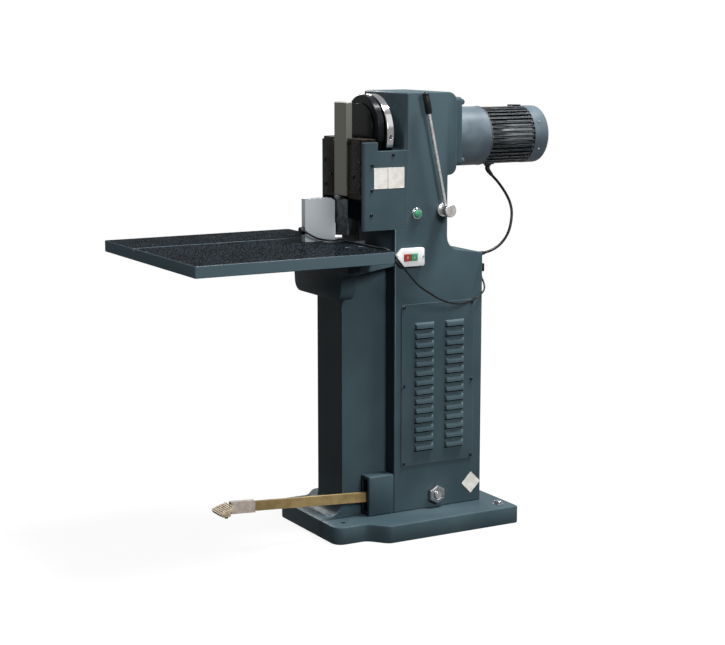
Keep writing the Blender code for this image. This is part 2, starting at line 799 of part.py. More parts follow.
def build_base_plate(paint):
    """The cast foot plate, narrow at the front and wide at the back."""
    front_y = -BASE_LENGTH / 2
    rear_y = BASE_LENGTH / 2
    front = BASE_FRONT_HALF_WIDTH
    rear = BASE_REAR_HALF_WIDTH
    radius = BASE_FRONT_CORNER_RADIUS
    half = circle_arc((front - radius, front_y + radius), radius, -math.pi / 2, 0.0, ARC_STEPS)
    steps = 2 * ARC_STEPS
    for step in range(steps + 1):
        share = step / steps
        swell = (1 - math.cos(math.pi * share)) / 2
        half.append((
            front + (rear - front) * swell,
            BASE_FLARE_START_Y + (BASE_FLARE_END_Y - BASE_FLARE_START_Y) * share,
        ))
    radius = BASE_REAR_CORNER_RADIUS
    half += circle_arc((rear - radius, rear_y - radius), radius, 0.0, math.pi / 2, ARC_STEPS)
    plate = prism("base_plate", mirrored(half), "XY", (0.0, BASE_THICKNESS))
    bevel(plate, BASE_EDGE_BEVEL)
    anchors = (
        (rear - ANCHOR_REAR_SIDE_INSET, rear_y - ANCHOR_REAR_END_INSET),
        (front - ANCHOR_FRONT_SIDE_INSET, front_y + ANCHOR_FRONT_END_INSET),
    )
    holes = [
        cylinder("hole", "Z", (side * x, y, 0.0), ANCHOR_HOLE_RADIUS,
                 (-OVERRUN, BASE_THICKNESS + OVERRUN), CUTTERS)
        for side in (-1, 1)
        for x, y in anchors
    ]
    cut(plate, joined("anchor_holes", holes))
    reach = -BASE_FLARE_END_Y - RIB_WIDTH
    z_span = (-OVERRUN, BASE_THICKNESS - BASE_ROOF)
    cut(plate, pocket_grid("base_pockets", (BASE_RIM - rear, rear - BASE_RIM), (-reach, reach),
                           (3, 2), z_span))
    for side in (-1, 1):
        ends = sorted((side * (reach + RIB_WIDTH), side * (rear_y - BASE_RIM)))
        cut(plate, block("end_pocket", (-BASE_END_POCKET_HALF_WIDTH, BASE_END_POCKET_HALF_WIDTH),
                         ends, z_span, CUTTERS))
    return finish(plate, paint)


def casting_outline():
    """The side view of the column: body, shoulder, neck and head."""
    return rounded([
        (BODY_FRONT_Y, CASTING_FOOT_Z),
        (BODY_REAR_Y, CASTING_FOOT_Z),
        (BODY_REAR_Y, SHOULDER_REAR_Z, CASTING_BEVEL),
        (NECK_REAR_Y, SHOULDER_NECK_Z, NECK_FILLET_RADIUS),
        (NECK_REAR_Y, HEAD_UNDERCUT_Z),
        (HEAD_REAR_Y, HEAD_UNDERCUT_Z, HEAD_UNDERCUT_RISE),
        (HEAD_REAR_Y, HEAD_TOP_Z, HEAD_BACK_RADIUS),
        (HEAD_FACE_Y, HEAD_TOP_Z, HEAD_TOP_RADIUS),
        (HEAD_FACE_Y, LEDGE_Z),
        (RECESS_Y, LEDGE_Z),
        (RECESS_Y, RECESS_BOTTOM_Z),
        (BODY_FRONT_Y, RECESS_BOTTOM_Z),
    ])


def build_column(paint):
    """The hollow C-shaped casting that carries the drive and the head."""
    column = prism(
        "column_casting", casting_outline(), "YZ", (-BODY_HALF_WIDTH, BODY_HALF_WIDTH)
    )
    bevel(column, CASTING_BEVEL)
    boss = cylinder("crank_boss", "Y", (0.0, 0.0, CRANK_AXIS_Z), BOSS_RADIUS,
                    (RECESS_Y, HEAD_FACE_Y + OVERRUN), CUTTERS, ROUND_STEPS)
    add(column, boss)

    rebates = [
        block("rebate", sorted((side * (PLATE_INNER_X - GAP), side * (BODY_HALF_WIDTH + OVERRUN))),
              (BODY_FRONT_Y - OVERRUN, HEAD_FACE_Y),
              (SIDE_PLATE_BOTTOM_Z - GAP, LEDGE_Z + OVERRUN), CUTTERS)
        for side in (-1, 1)
    ]
    cut(column, joined("side_plate_rebates", rebates))

    inner = BODY_HALF_WIDTH - BODY_WALL
    chamber = block("chamber", (-inner, inner),
                    (BODY_FRONT_Y + BODY_WALL, BODY_REAR_Y - BODY_WALL),
                    (CHAMBER_FLOOR_Z, CHAMBER_TOP_Z), CUTTERS)
    hatch = block("hatch", (inner - OVERRUN, BODY_HALF_WIDTH + OVERRUN),
                  (COVER_FRONT_Y + HATCH_MARGIN, COVER_REAR_Y - HATCH_MARGIN),
                  (COVER_BOTTOM_Z + HATCH_MARGIN, COVER_TOP_Z - HATCH_MARGIN), CUTTERS)
    slot = block("pedal_slot",
                 (PEDAL_X - PEDAL_SLOT_HALF_WIDTH, inner),
                 (BODY_FRONT_Y - OVERRUN, BODY_FRONT_Y + BODY_WALL + OVERRUN),
                 (PEDAL_SLOT_BOTTOM_Z, PEDAL_SLOT_TOP_Z), CUTTERS)
    well = block("neck_well", (-NECK_SHAFT_HALF_WIDTH, NECK_SHAFT_HALF_WIDTH),
                 (NECK_SHAFT_FRONT_Y, NECK_SHAFT_REAR_Y),
                 (CHAMBER_TOP_Z - OVERRUN, HEAD_CAVITY_BOTTOM_Z + OVERRUN), CUTTERS)
    neck = block("neck_cavity", (-NECK_CAVITY_HALF_WIDTH, NECK_CAVITY_HALF_WIDTH),
                 (NECK_CAVITY_FRONT_Y, NECK_CAVITY_REAR_Y),
                 (CHAMBER_TOP_Z - 2 * OVERRUN, NECK_CAVITY_TOP_Z), CUTTERS)
    clutch = block("clutch_chamber", (-HEAD_CAVITY_HALF_WIDTH, HEAD_CAVITY_HALF_WIDTH),
                   (HEAD_CAVITY_FRONT_Y, HEAD_CAVITY_REAR_Y),
                   (HEAD_CAVITY_BOTTOM_Z, HEAD_CAVITY_TOP_Z), CUTTERS)
    bore = cylinder("main_bore", "Y", (0.0, 0.0, CRANK_AXIS_Z), SHAFT_RADIUS + BUSH_WALL + 2 * GAP,
                    (RECESS_Y - OVERRUN, HEAD_REAR_Y + OVERRUN), CUTTERS, ROUND_STEPS)
    for cutter in (chamber, hatch, slot, neck, well, clutch, bore):
        cut(column, cutter)

    shaft_bore = cylinder("pedal_shaft_bore", "X", (0.0, PEDAL_PIVOT_Y, PEDAL_PIVOT_Z),
                          PEDAL_SHAFT_RADIUS + GAP,
                          (-BODY_HALF_WIDTH - OVERRUN, BODY_HALF_WIDTH + OVERRUN), CUTTERS)
    lever_bore = cylinder("lever_bore", "X", (0.0, LEVER_AXIS_Y, LEVER_AXIS_Z),
                          LEVER_SHAFT_RADIUS + GAP,
                          (BODY_HALF_WIDTH - LEVER_SHAFT_DEPTH - OVERRUN,
                           BODY_HALF_WIDTH + OVERRUN), CUTTERS)
    button_bore = cylinder("button_bore", "X", (0.0, BUTTON_Y, BUTTON_Z),
                           BUTTON_RADIUS + GAP,
                           (BODY_HALF_WIDTH - BUTTON_BORE_DEPTH, BODY_HALF_WIDTH + OVERRUN),
                           CUTTERS)
    for cutter in (shaft_bore, lever_bore, button_bore):
        cut(column, cutter)
    return finish(column, paint)


def build_front_post(paint):
    """The hollow post under the table, with its broad nose and its side scrap mouth."""
    back_y = BODY_FRONT_Y - GAP
    outline = rounded([
        (back_y, CASTING_FOOT_Z),
        (back_y, POST_TOP_Z),
        (POST_FRONT_Y, POST_TOP_Z),
        (POST_FRONT_Y, CASTING_FOOT_Z, POST_FOOT_RADIUS),
        (POST_FRONT_Y - POST_FOOT_RADIUS - OVERRUN, CASTING_FOOT_Z),
    ])
    post = prism("front_post", outline, "YZ", (-POST_HALF_WIDTH, POST_HALF_WIDTH))
    flare_z = POST_TOP_Z - NOSE_RIM
    rim_x = NOSE_HALF_WIDTH + NOSE_FLARE + OVERRUN
    half = rounded([
        (0.0, NOSE_BOTTOM_Z),
        (NOSE_HALF_WIDTH, NOSE_BOTTOM_Z, NOSE_CORNER_RADIUS),
        (NOSE_HALF_WIDTH, flare_z, NOSE_FLARE),
        (rim_x, flare_z),
        (rim_x, POST_TOP_Z),
        (0.0, POST_TOP_Z),
    ])
    nose = prism("post_nose", mirrored(half[1:-1]), "XZ",
                 (NOSE_FRONT_Y, POST_FRONT_Y + POST_WALL / 2), CUTTERS)
    bevel(nose, NOSE_EDGE_BEVEL)
    add(post, nose)
    inner_x = POST_HALF_WIDTH - POST_WALL
    hollow = block("post_hollow", (-inner_x, inner_x),
                   (POST_FRONT_Y + POST_WALL, back_y - POST_WALL),
                   (POST_FLOOR_Z, POST_TOP_Z + OVERRUN), CUTTERS)
    sill_z = POST_FLOOR_Z + MOUTH_SILL
    mouth = block("scrap_mouth", (-POST_HALF_WIDTH - OVERRUN, -inner_x + OVERRUN),
                  (MOUTH_FRONT_Y, MOUTH_REAR_Y), (sill_z, sill_z + MOUTH_HEIGHT), CUTTERS)
    cut(post, hollow)
    cut(post, mouth)
    return finish(post, paint)


def build_pedal_housing(paint):
    """The box beside the post that the pedal bar passes through."""
    housing = block("pedal_housing", (POST_HALF_WIDTH + GAP, BODY_HALF_WIDTH),
                    (HOUSING_FRONT_Y, BODY_FRONT_Y - GAP), (CASTING_FOOT_Z, HOUSING_TOP_Z))
    bevel(housing, HOUSING_EDGE_BEVEL)
    tunnel = block("tunnel", (PEDAL_X - PEDAL_SLOT_HALF_WIDTH, BODY_HALF_WIDTH - BODY_WALL),
                   (HOUSING_FRONT_Y - OVERRUN, BODY_FRONT_Y + OVERRUN),
                   (PEDAL_SLOT_BOTTOM_Z, PEDAL_SLOT_TOP_Z), CUTTERS)
    cut(housing, tunnel)
    return finish(housing, paint)


def build_saddle(paint):
    """The wing between the post and the table, which tapers back to the column."""
    half = rounded([
        (0.0, SADDLE_FRONT_Y),
        (SADDLE_HALF_WIDTH, SADDLE_FRONT_Y, SADDLE_CORNER_RADIUS),
        (SADDLE_HALF_WIDTH, SADDLE_TAPER_Y, SADDLE_CORNER_RADIUS),
        (BODY_HALF_WIDTH, BODY_FRONT_Y - GAP),
        (0.0, BODY_FRONT_Y - GAP),
    ])
    saddle = prism("table_saddle", mirrored(half[1:-1]), "XY",
                   (SADDLE_TOP_Z - SADDLE_THICKNESS, SADDLE_TOP_Z))
    slot = block("scrap_slot", (-SLOT_HALF_WIDTH, SLOT_HALF_WIDTH), (SLOT_FRONT_Y, SLOT_REAR_Y),
                 (SADDLE_TOP_Z - SADDLE_THICKNESS - OVERRUN, SADDLE_TOP_Z + OVERRUN), CUTTERS)
    cut(saddle, slot)
    return finish(saddle, paint)


def build_table(paint):
    """The work table, with the die's notch, a gauge groove and sunk screw holes."""
    half = rounded([
        (0.0, TABLE_FRONT_Y),
        (TABLE_HALF_WIDTH, TABLE_FRONT_Y, TABLE_CORNER_RADIUS),
        (TABLE_HALF_WIDTH, TABLE_REAR_Y, TABLE_CORNER_RADIUS),
        (0.0, TABLE_REAR_Y),
    ], 3)
    table = prism("table", mirrored(half[1:-1]), "XY", (TABLE_UNDERSIDE_Z, TABLE_TOP_Z))
    bevel(table, TABLE_EDGE_BEVEL, 1)
    notch = block("die_notch", (-DIE_HALF_WIDTH - GAP, DIE_HALF_WIDTH + GAP),
                  (DIE_FRONT_Y - GAP, TABLE_REAR_Y + OVERRUN),
                  (TABLE_UNDERSIDE_Z - OVERRUN, TABLE_TOP_Z + OVERRUN), CUTTERS)
    groove = block("gauge_groove",
                   (TABLE_GROOVE_X - TABLE_GROOVE_WIDTH / 2,
                    TABLE_GROOVE_X + TABLE_GROOVE_WIDTH / 2),
                   (TABLE_FRONT_Y - OVERRUN, TABLE_GROOVE_END_Y),
                   (TABLE_TOP_Z - TABLE_GROOVE_DEPTH, TABLE_TOP_Z + OVERRUN), CUTTERS)
    sinks = [
        cylinder("sink", "Z", (side * TABLE_SCREW_X, y, 0.0), TABLE_SCREW_RADIUS,
                 (TABLE_TOP_Z - TABLE_SCREW_DEPTH, TABLE_TOP_Z + OVERRUN), CUTTERS)
        for side in (-1, 1)
        for y in (TABLE_SCREW_FRONT_Y, TABLE_SCREW_REAR_Y)
    ]
    cut(table, notch)
    cut(table, groove)
    cut(table, joined("table_screw_sinks", sinks))
    inner_x = TABLE_HALF_WIDTH - TABLE_RIM
    cut(table, pocket_grid("table_pockets", (-inner_x, inner_x),
                           (TABLE_FRONT_Y + TABLE_RIM, SADDLE_FRONT_Y - RIB_WIDTH), (5, 4),
                           (TABLE_UNDERSIDE_Z - OVERRUN, TABLE_UNDERSIDE_Z + TABLE_POCKET_DEPTH)))
    return finish(table, paint)


def punch_outline(clearance):
    """The plan of the corner punch: a right-angled point that faces the operator."""
    side = PUNCH_HALF_WIDTH + clearance
    point = clearance * math.sqrt(2)
    return [
        (0.0, PUNCH_APEX_Y - point),
        (side, PUNCH_SHOULDER_Y - point + clearance),
        (side, PUNCH_BACK_Y + clearance),
        (-side, PUNCH_BACK_Y + clearance),
        (-side, PUNCH_SHOULDER_Y - point + clearance),
    ]


def build_die(steel):
    """The die block in the table's notch, with the punch-shaped hole."""
    die = block("die_block", (-DIE_HALF_WIDTH, DIE_HALF_WIDTH), (DIE_FRONT_Y, DIE_REAR_Y),
                (TABLE_UNDERSIDE_Z, TABLE_TOP_Z))
    hole = prism("die_hole", punch_outline(PUNCH_DIE_CLEARANCE), "XY",
                 (TABLE_UNDERSIDE_Z - OVERRUN, TABLE_TOP_Z + OVERRUN), CUTTERS)
    cut(die, hole)
    return finish(die, steel)


def build_side_plates(paint):
    """The two cheeks of the head that hold the guide rails."""
    plates = []
    for name, side in (("side_plate_right", 1), ("side_plate_left", -1)):
        outline = rounded([
            (PLATE_INNER_X, HEAD_FACE_Y - GAP),
            (PLATE_INNER_X, SIDE_PLATE_FRONT_Y, SIDE_PLATE_INNER_RADIUS),
            (BODY_HALF_WIDTH, SIDE_PLATE_FRONT_Y, SIDE_PLATE_NOSE_RADIUS),
            (BODY_HALF_WIDTH, HEAD_FACE_Y - GAP),
        ])
        outline = [(side * x, y) for x, y in outline]
        plate = prism(name, outline, "XY", (SIDE_PLATE_BOTTOM_Z, LUG_TOP_Z))
        relief = block("lug_relief", sorted((side * (PLATE_INNER_X - OVERRUN),
                                             side * (BODY_HALF_WIDTH + OVERRUN))),
                       (LUG_REAR_Y, HEAD_FACE_Y + OVERRUN), (LEDGE_Z, LUG_TOP_Z + OVERRUN), CUTTERS)
        cut(plate, relief)
        smooth(plate)
        plates.append(finish(plate, paint))
    return plates


def build_guide_rails(paint):
    """The rails on both sides of the ram, each with a shoulder behind it."""
    rails = []
    ram_back_y = RAM_FRONT_Y + RAM_THICKNESS
    for name, side in (("guide_rail_right", 1), ("guide_rail_left", -1)):
        outline = rounded([
            (TONGUE_HALF_WIDTH + RAIL_CLEARANCE, RAIL_BACK_Y),
            (TONGUE_HALF_WIDTH + RAIL_CLEARANCE, ram_back_y + RAIL_CLEARANCE),
            (RAM_HALF_WIDTH + RAIL_CLEARANCE, ram_back_y + RAIL_CLEARANCE),
            (RAM_HALF_WIDTH + RAIL_CLEARANCE, RAIL_FRONT_Y),
            (PLATE_INNER_X - GAP, RAIL_FRONT_Y, RAIL_CORNER_RADIUS),
            (PLATE_INNER_X - GAP, RAIL_BACK_Y),
        ])
        outline = [(side * x, y) for x, y in outline]
        rail = prism(name, outline, "XY", (RAIL_BOTTOM_Z, RAIL_TOP_Z))
        rails.append(finish(rail, paint))
    return rails


def build_ram(ram_steel, tool_steel, dark_steel):
    """The flat ram with its tongue, wrist pin, punch holder and punch."""
    back_y = RAM_FRONT_Y + RAM_THICKNESS
    ram = block("ram", (-RAM_HALF_WIDTH, RAM_HALF_WIDTH), (RAM_FRONT_Y, back_y),
                (RAM_BOTTOM_Z, RAM_TOP_Z))
    bevel(ram, RAM_EDGE_BEVEL, 1)
    tongue = block("tongue", (-TONGUE_HALF_WIDTH, TONGUE_HALF_WIDTH),
                   (back_y - OVERRUN, TONGUE_BACK_Y), (RAM_BOTTOM_Z, TONGUE_TOP_Z), CUTTERS)
    add(ram, tongue)
    finish(ram, ram_steel)

    pin = cylinder("wrist_pin", "Y", (0.0, 0.0, WRIST_PIN_Z), WRIST_PIN_RADIUS,
                   (TONGUE_BACK_Y + GAP, ROD_FRONT_Y - ROD_CLEARANCE))
    finish(pin, tool_steel)

    holder_top_z = RAM_BOTTOM_Z - GAP
    holder = block("punch_holder", (-HOLDER_HALF_WIDTH, HOLDER_HALF_WIDTH),
                   (HOLDER_FRONT_Y, HOLDER_BACK_Y), (holder_top_z - HOLDER_HEIGHT, holder_top_z))
    finish(holder, dark_steel)

    punch_top_z = holder_top_z - HOLDER_HEIGHT - GAP
    punch = prism("punch", punch_outline(0.0), "XY", (PUNCH_BOTTOM_Z, punch_top_z))
    finish(punch, tool_steel)
    return [ram, pin, holder, punch]


def build_crank(bright_steel, tool_steel, dark_steel):
    """The crank disc, its eccentric and the main shaft with the clutch sleeve."""
    front_y = DISC_FRONT_Y
    rear_y = front_y + DISC_THICKNESS
    chamfer = DISC_EDGE_CHAMFER
    shaft_clear = SHAFT_RADIUS + GAP
    disc = turned("crank_disc", "Y", (0.0, 0.0, CRANK_AXIS_Z), [
        (shaft_clear, rear_y + DISC_HUB_LENGTH),
        (DISC_HUB_RADIUS, rear_y + DISC_HUB_LENGTH),
        (DISC_HUB_RADIUS, rear_y),
        (DISC_RADIUS - chamfer, rear_y),
        (DISC_RADIUS, rear_y - chamfer),
        (DISC_RADIUS, front_y + chamfer),
        (DISC_RADIUS - chamfer, front_y),
        (shaft_clear, front_y),
    ], steps=56)
    hole = cylinder("bar_hole", "X", (0.0, 0.0, 0.0), DISC_BAR_HOLE_RADIUS,
                    (DISC_RADIUS - DISC_BAR_HOLE_DEPTH, DISC_RADIUS + OVERRUN), CUTTERS)
    hole.data.transform(Matrix.Rotation(-DISC_BAR_HOLE_ANGLE, 4, "Y"))
    hole.data.transform(Matrix.Translation((0.0, front_y + DISC_THICKNESS / 2, CRANK_AXIS_Z)))
    cut(disc, hole)
    finish(disc, bright_steel)

    eccentric = turned("crank_eccentric", "Y", (0.0, 0.0, ECCENTRIC_AXIS_Z), [
        (0.0, front_y - GAP),
        (ECCENTRIC_RADIUS, front_y - GAP),
        (ECCENTRIC_RADIUS, ECCENTRIC_FRONT_Y),
        (ECCENTRIC_FLANGE_RADIUS, ECCENTRIC_FRONT_Y),
        (ECCENTRIC_FLANGE_RADIUS, ECCENTRIC_FRONT_Y - ECCENTRIC_FLANGE_THICKNESS),
        (0.0, ECCENTRIC_FRONT_Y - ECCENTRIC_FLANGE_THICKNESS),
    ])
    finish(eccentric, dark_steel)

    shaft = cylinder("main_shaft", "Y", (0.0, 0.0, CRANK_AXIS_Z), SHAFT_RADIUS,
                     (front_y, SHAFT_REAR_Y), steps=32)
    finish(shaft, tool_steel)

    sleeve_rear_y = CLUTCH_FRONT_Y + CLUTCH_LENGTH
    sleeve = turned("clutch_sleeve", "Y", (0.0, 0.0, CRANK_AXIS_Z), [
        (shaft_clear, sleeve_rear_y),
        (CLUTCH_RADIUS, sleeve_rear_y),
        (CLUTCH_RADIUS, CLUTCH_FRONT_Y),
        (shaft_clear, CLUTCH_FRONT_Y),
    ])
    teeth = []
    for index in range(CLUTCH_TEETH):
        tooth = block("tooth_gap", (CLUTCH_RADIUS / 2 + SHAFT_RADIUS / 2, CLUTCH_RADIUS + OVERRUN),
                      (sleeve_rear_y - CLUTCH_TOOTH_DEPTH, sleeve_rear_y + OVERRUN),
                      (-CLUTCH_TOOTH_WIDTH / 2, CLUTCH_TOOTH_WIDTH / 2), CUTTERS)
        tooth.data.transform(Matrix.Rotation(math.tau * index / CLUTCH_TEETH, 4, "Y"))
        tooth.data.transform(Matrix.Translation((0.0, 0.0, CRANK_AXIS_Z)))
        teeth.append(tooth)
    cut(sleeve, joined("clutch_tooth_gaps", teeth))
    finish(sleeve, tool_steel)
    return [disc, eccentric, shaft, sleeve]


def build_connecting_rod(dark_steel):
    """The strap round the eccentric, with its shank and lower eye."""
    reach = ECCENTRIC_AXIS_Z - WRIST_PIN_Z
    lean = math.asin((ROD_RING_RADIUS - ROD_EYE_RADIUS) / reach)
    outline = circle_arc((0.0, ECCENTRIC_AXIS_Z), ROD_RING_RADIUS,
                         -lean, math.pi + lean, 36)
    outline += circle_arc((0.0, WRIST_PIN_Z), ROD_EYE_RADIUS,
                          math.pi + lean, math.tau - lean, 10)
    rod = prism("connecting_rod", outline, "XZ", (ROD_FRONT_Y, ROD_BACK_Y))
    bevel(rod, ROD_EDGE_BEVEL, 1)
    bore = cylinder("strap_bore", "Y", (0.0, 0.0, ECCENTRIC_AXIS_Z),
                    ECCENTRIC_RADIUS + ROD_CLEARANCE,
                    (ROD_FRONT_Y - OVERRUN, ROD_BACK_Y + OVERRUN), CUTTERS, ROUND_STEPS)
    eye = cylinder("eye_bore", "Y", (0.0, 0.0, WRIST_PIN_Z), WRIST_PIN_RADIUS + ROD_CLEARANCE,
                   (ROD_FRONT_Y - OVERRUN, ROD_BACK_Y + OVERRUN), CUTTERS)
    cut(rod, bore)
    cut(rod, eye)
    smooth(rod)
    return finish(rod, dark_steel)


def build_bushes(bronze):
    """The plain bearings of the main shaft in the head's front and back walls."""
    spans = {
        "front_bush": (RECESS_Y + GAP, HEAD_CAVITY_FRONT_Y - GAP),
        "rear_bush": (HEAD_CAVITY_REAR_Y + GAP, HEAD_REAR_Y - GAP),
    }
    bushes = []
    for name, (low, high) in spans.items():
        bush = turned(name, "Y", (0.0, 0.0, CRANK_AXIS_Z), [
            (SHAFT_RADIUS + GAP, high),
            (SHAFT_RADIUS + BUSH_WALL, high),
            (SHAFT_RADIUS + BUSH_WALL, low),
            (SHAFT_RADIUS + GAP, low),
        ])
        bushes.append(finish(bush, bronze))
    return bushes


def build_drive(paint, aluminium):
    """The adapter flange, gear head, finned motor and fan cowl."""
    flange_front_y = HEAD_REAR_Y + GAP + ADAPTER_SPIGOT_LENGTH
    flange_rear_y = flange_front_y + ADAPTER_THICKNESS
    bore_end_y = HEAD_REAR_Y + ADAPTER_BORE_DEPTH
    side = ADAPTER_HALF_SIDE
    corner = ADAPTER_CORNER_RADIUS
    outline = rounded([
        (-side, CRANK_AXIS_Z - side, corner),
        (side, CRANK_AXIS_Z - side, corner),
        (side, CRANK_AXIS_Z + side, corner),
        (-side, CRANK_AXIS_Z + side, corner),
    ])
    adapter = prism("motor_adapter", outline, "XZ", (flange_front_y, flange_rear_y))
    bevel(adapter, ADAPTER_EDGE_BEVEL)
    spigot = cylinder("adapter_spigot", "Y", (0.0, 0.0, CRANK_AXIS_Z), ADAPTER_SPIGOT_RADIUS,
                      (HEAD_REAR_Y + GAP, flange_front_y + OVERRUN), CUTTERS, ROUND_STEPS)
    bolts = []
    for x in (-ADAPTER_BOLT_OFFSET, ADAPTER_BOLT_OFFSET):
        for rise in (-ADAPTER_BOLT_OFFSET, ADAPTER_BOLT_OFFSET):
            bolts.append(cylinder("bolt", "Y", (x, 0.0, CRANK_AXIS_Z + rise), ADAPTER_BOLT_RADIUS,
                                  (flange_rear_y - OVERRUN, flange_rear_y + ADAPTER_BOLT_HEIGHT),
                                  CUTTERS, 6))
    bore = cylinder("adapter_bore", "Y", (0.0, 0.0, CRANK_AXIS_Z), SHAFT_RADIUS + BUSH_WALL / 2,
                    (HEAD_REAR_Y, bore_end_y), CUTTERS, ROUND_STEPS)
    add(adapter, spigot)
    add(adapter, joined("adapter_bolts", bolts))
    cut(adapter, bore)
    finish(adapter, paint)

    edge = GEAR_HEAD_EDGE_RADIUS
    corner_edge = edge * GEAR_HEAD_EDGE_SHARE
    gear_head = turned("gear_head", "Y", (0.0, 0.0, MOTOR_AXIS_Z), [
        (0.0, GEAR_HEAD_REAR_Y),
        (GEAR_HEAD_RADIUS - edge, GEAR_HEAD_REAR_Y),
        (GEAR_HEAD_RADIUS - corner_edge, GEAR_HEAD_REAR_Y - corner_edge),
        (GEAR_HEAD_RADIUS, GEAR_HEAD_REAR_Y - edge),
        (GEAR_HEAD_RADIUS, flange_rear_y + GAP),
        (0.0, flange_rear_y + GAP),
    ])
    finish(gear_head, aluminium)

    motor_front_y = GEAR_HEAD_REAR_Y + GAP
    outline = []
    pitch = math.tau / MOTOR_FINS
    for index in range(MOTOR_FINS):
        middle = pitch * index
        for radius, offset in (
            (MOTOR_CORE_RADIUS, -MOTOR_FIN_ROOT_SHARE / 2),
            (MOTOR_FIN_RADIUS, -MOTOR_FIN_TIP_SHARE / 2),
            (MOTOR_FIN_RADIUS, MOTOR_FIN_TIP_SHARE / 2),
            (MOTOR_CORE_RADIUS, MOTOR_FIN_ROOT_SHARE / 2),
        ):
            angle = middle + pitch * offset
            outline.append((radius * math.cos(angle), MOTOR_AXIS_Z + radius * math.sin(angle)))
    motor = prism("motor_body", outline, "XZ", (motor_front_y, MOTOR_REAR_Y))
    spigot = cylinder("motor_spigot", "Y", (0.0, 0.0, MOTOR_AXIS_Z), MOTOR_SPIGOT_RADIUS,
                      (MOTOR_REAR_Y - OVERRUN, MOTOR_REAR_Y + MOTOR_SPIGOT_LENGTH), CUTTERS,
                      ROUND_STEPS)
    pad = block("gland_pad", (-MOTOR_PAD_HALF_WIDTH, MOTOR_PAD_HALF_WIDTH),
                (MOTOR_PAD_CENTRE_Y - MOTOR_PAD_LENGTH / 2,
                 MOTOR_PAD_CENTRE_Y + MOTOR_PAD_LENGTH / 2),
                (MOTOR_AXIS_Z - MOTOR_FIN_RADIUS - MOTOR_PAD_DROP,
                 MOTOR_AXIS_Z - MOTOR_CORE_RADIUS + OVERRUN), CUTTERS)
    boss = block("lifting_boss", (-MOTOR_PAD_HALF_WIDTH, MOTOR_PAD_HALF_WIDTH),
                 (MOTOR_BOSS_CENTRE_Y - MOTOR_BOSS_LENGTH / 2,
                  MOTOR_BOSS_CENTRE_Y + MOTOR_BOSS_LENGTH / 2),
                 (MOTOR_AXIS_Z + MOTOR_CORE_RADIUS - OVERRUN,
                  MOTOR_AXIS_Z + MOTOR_FIN_RADIUS + MOTOR_BOSS_RISE), CUTTERS)
    rotor_bore = cylinder("rotor_bore", "Y", (0.0, 0.0, MOTOR_AXIS_Z), ROTOR_RADIUS + GAP,
                          (MOTOR_REAR_Y - ROTOR_BORE_DEPTH,
                           MOTOR_REAR_Y + MOTOR_SPIGOT_LENGTH + OVERRUN), CUTTERS)
    for solid in (spigot, pad, boss):
        add(motor, solid)
    cut(motor, rotor_bore)
    finish(motor, aluminium)

    inner = COWL_RADIUS - COWL_SHEET
    edge = COWL_EDGE_RADIUS
    cowl_front_y = MOTOR_REAR_Y + GAP
    arc = [(COWL_RADIUS - edge + edge * math.sin(step * math.pi / 2 / ARC_STEPS),
            COWL_REAR_Y - edge + edge * math.cos(step * math.pi / 2 / ARC_STEPS))
           for step in range(ARC_STEPS + 1)]
    inner_edge = edge - COWL_SHEET
    inner_arc = [(inner - inner_edge + inner_edge * math.sin(step * math.pi / 2 / ARC_STEPS),
                  COWL_REAR_Y - edge + inner_edge * math.cos(step * math.pi / 2 / ARC_STEPS))
                 for step in range(ARC_STEPS + 1)]
    cowl = turned("fan_cowl", "Y", (0.0, 0.0, MOTOR_AXIS_Z),
                  [(0.0, COWL_REAR_Y)] + arc
                  + [(COWL_RADIUS, cowl_front_y), (inner, cowl_front_y)]
                  + list(reversed(inner_arc)) + [(0.0, COWL_REAR_Y - COWL_SHEET)])
    slots = []
    for index in range(COWL_SLOTS):
        slot = block("slot", (COWL_SLOT_INNER_RADIUS, COWL_SLOT_OUTER_RADIUS),
                     (COWL_REAR_Y - COWL_SHEET - OVERRUN, COWL_REAR_Y + OVERRUN),
                     (-COWL_SLOT_WIDTH / 2, COWL_SLOT_WIDTH / 2), CUTTERS)
        slot.data.transform(Matrix.Rotation(math.tau * index / COWL_SLOTS, 4, "Y"))
        slot.data.transform(Matrix.Translation((0.0, 0.0, MOTOR_AXIS_Z)))
        slots.append(slot)
    cut(cowl, joined("cowl_slots", slots))
    finish(cowl, aluminium)
    return [adapter, gear_head, motor, cowl]


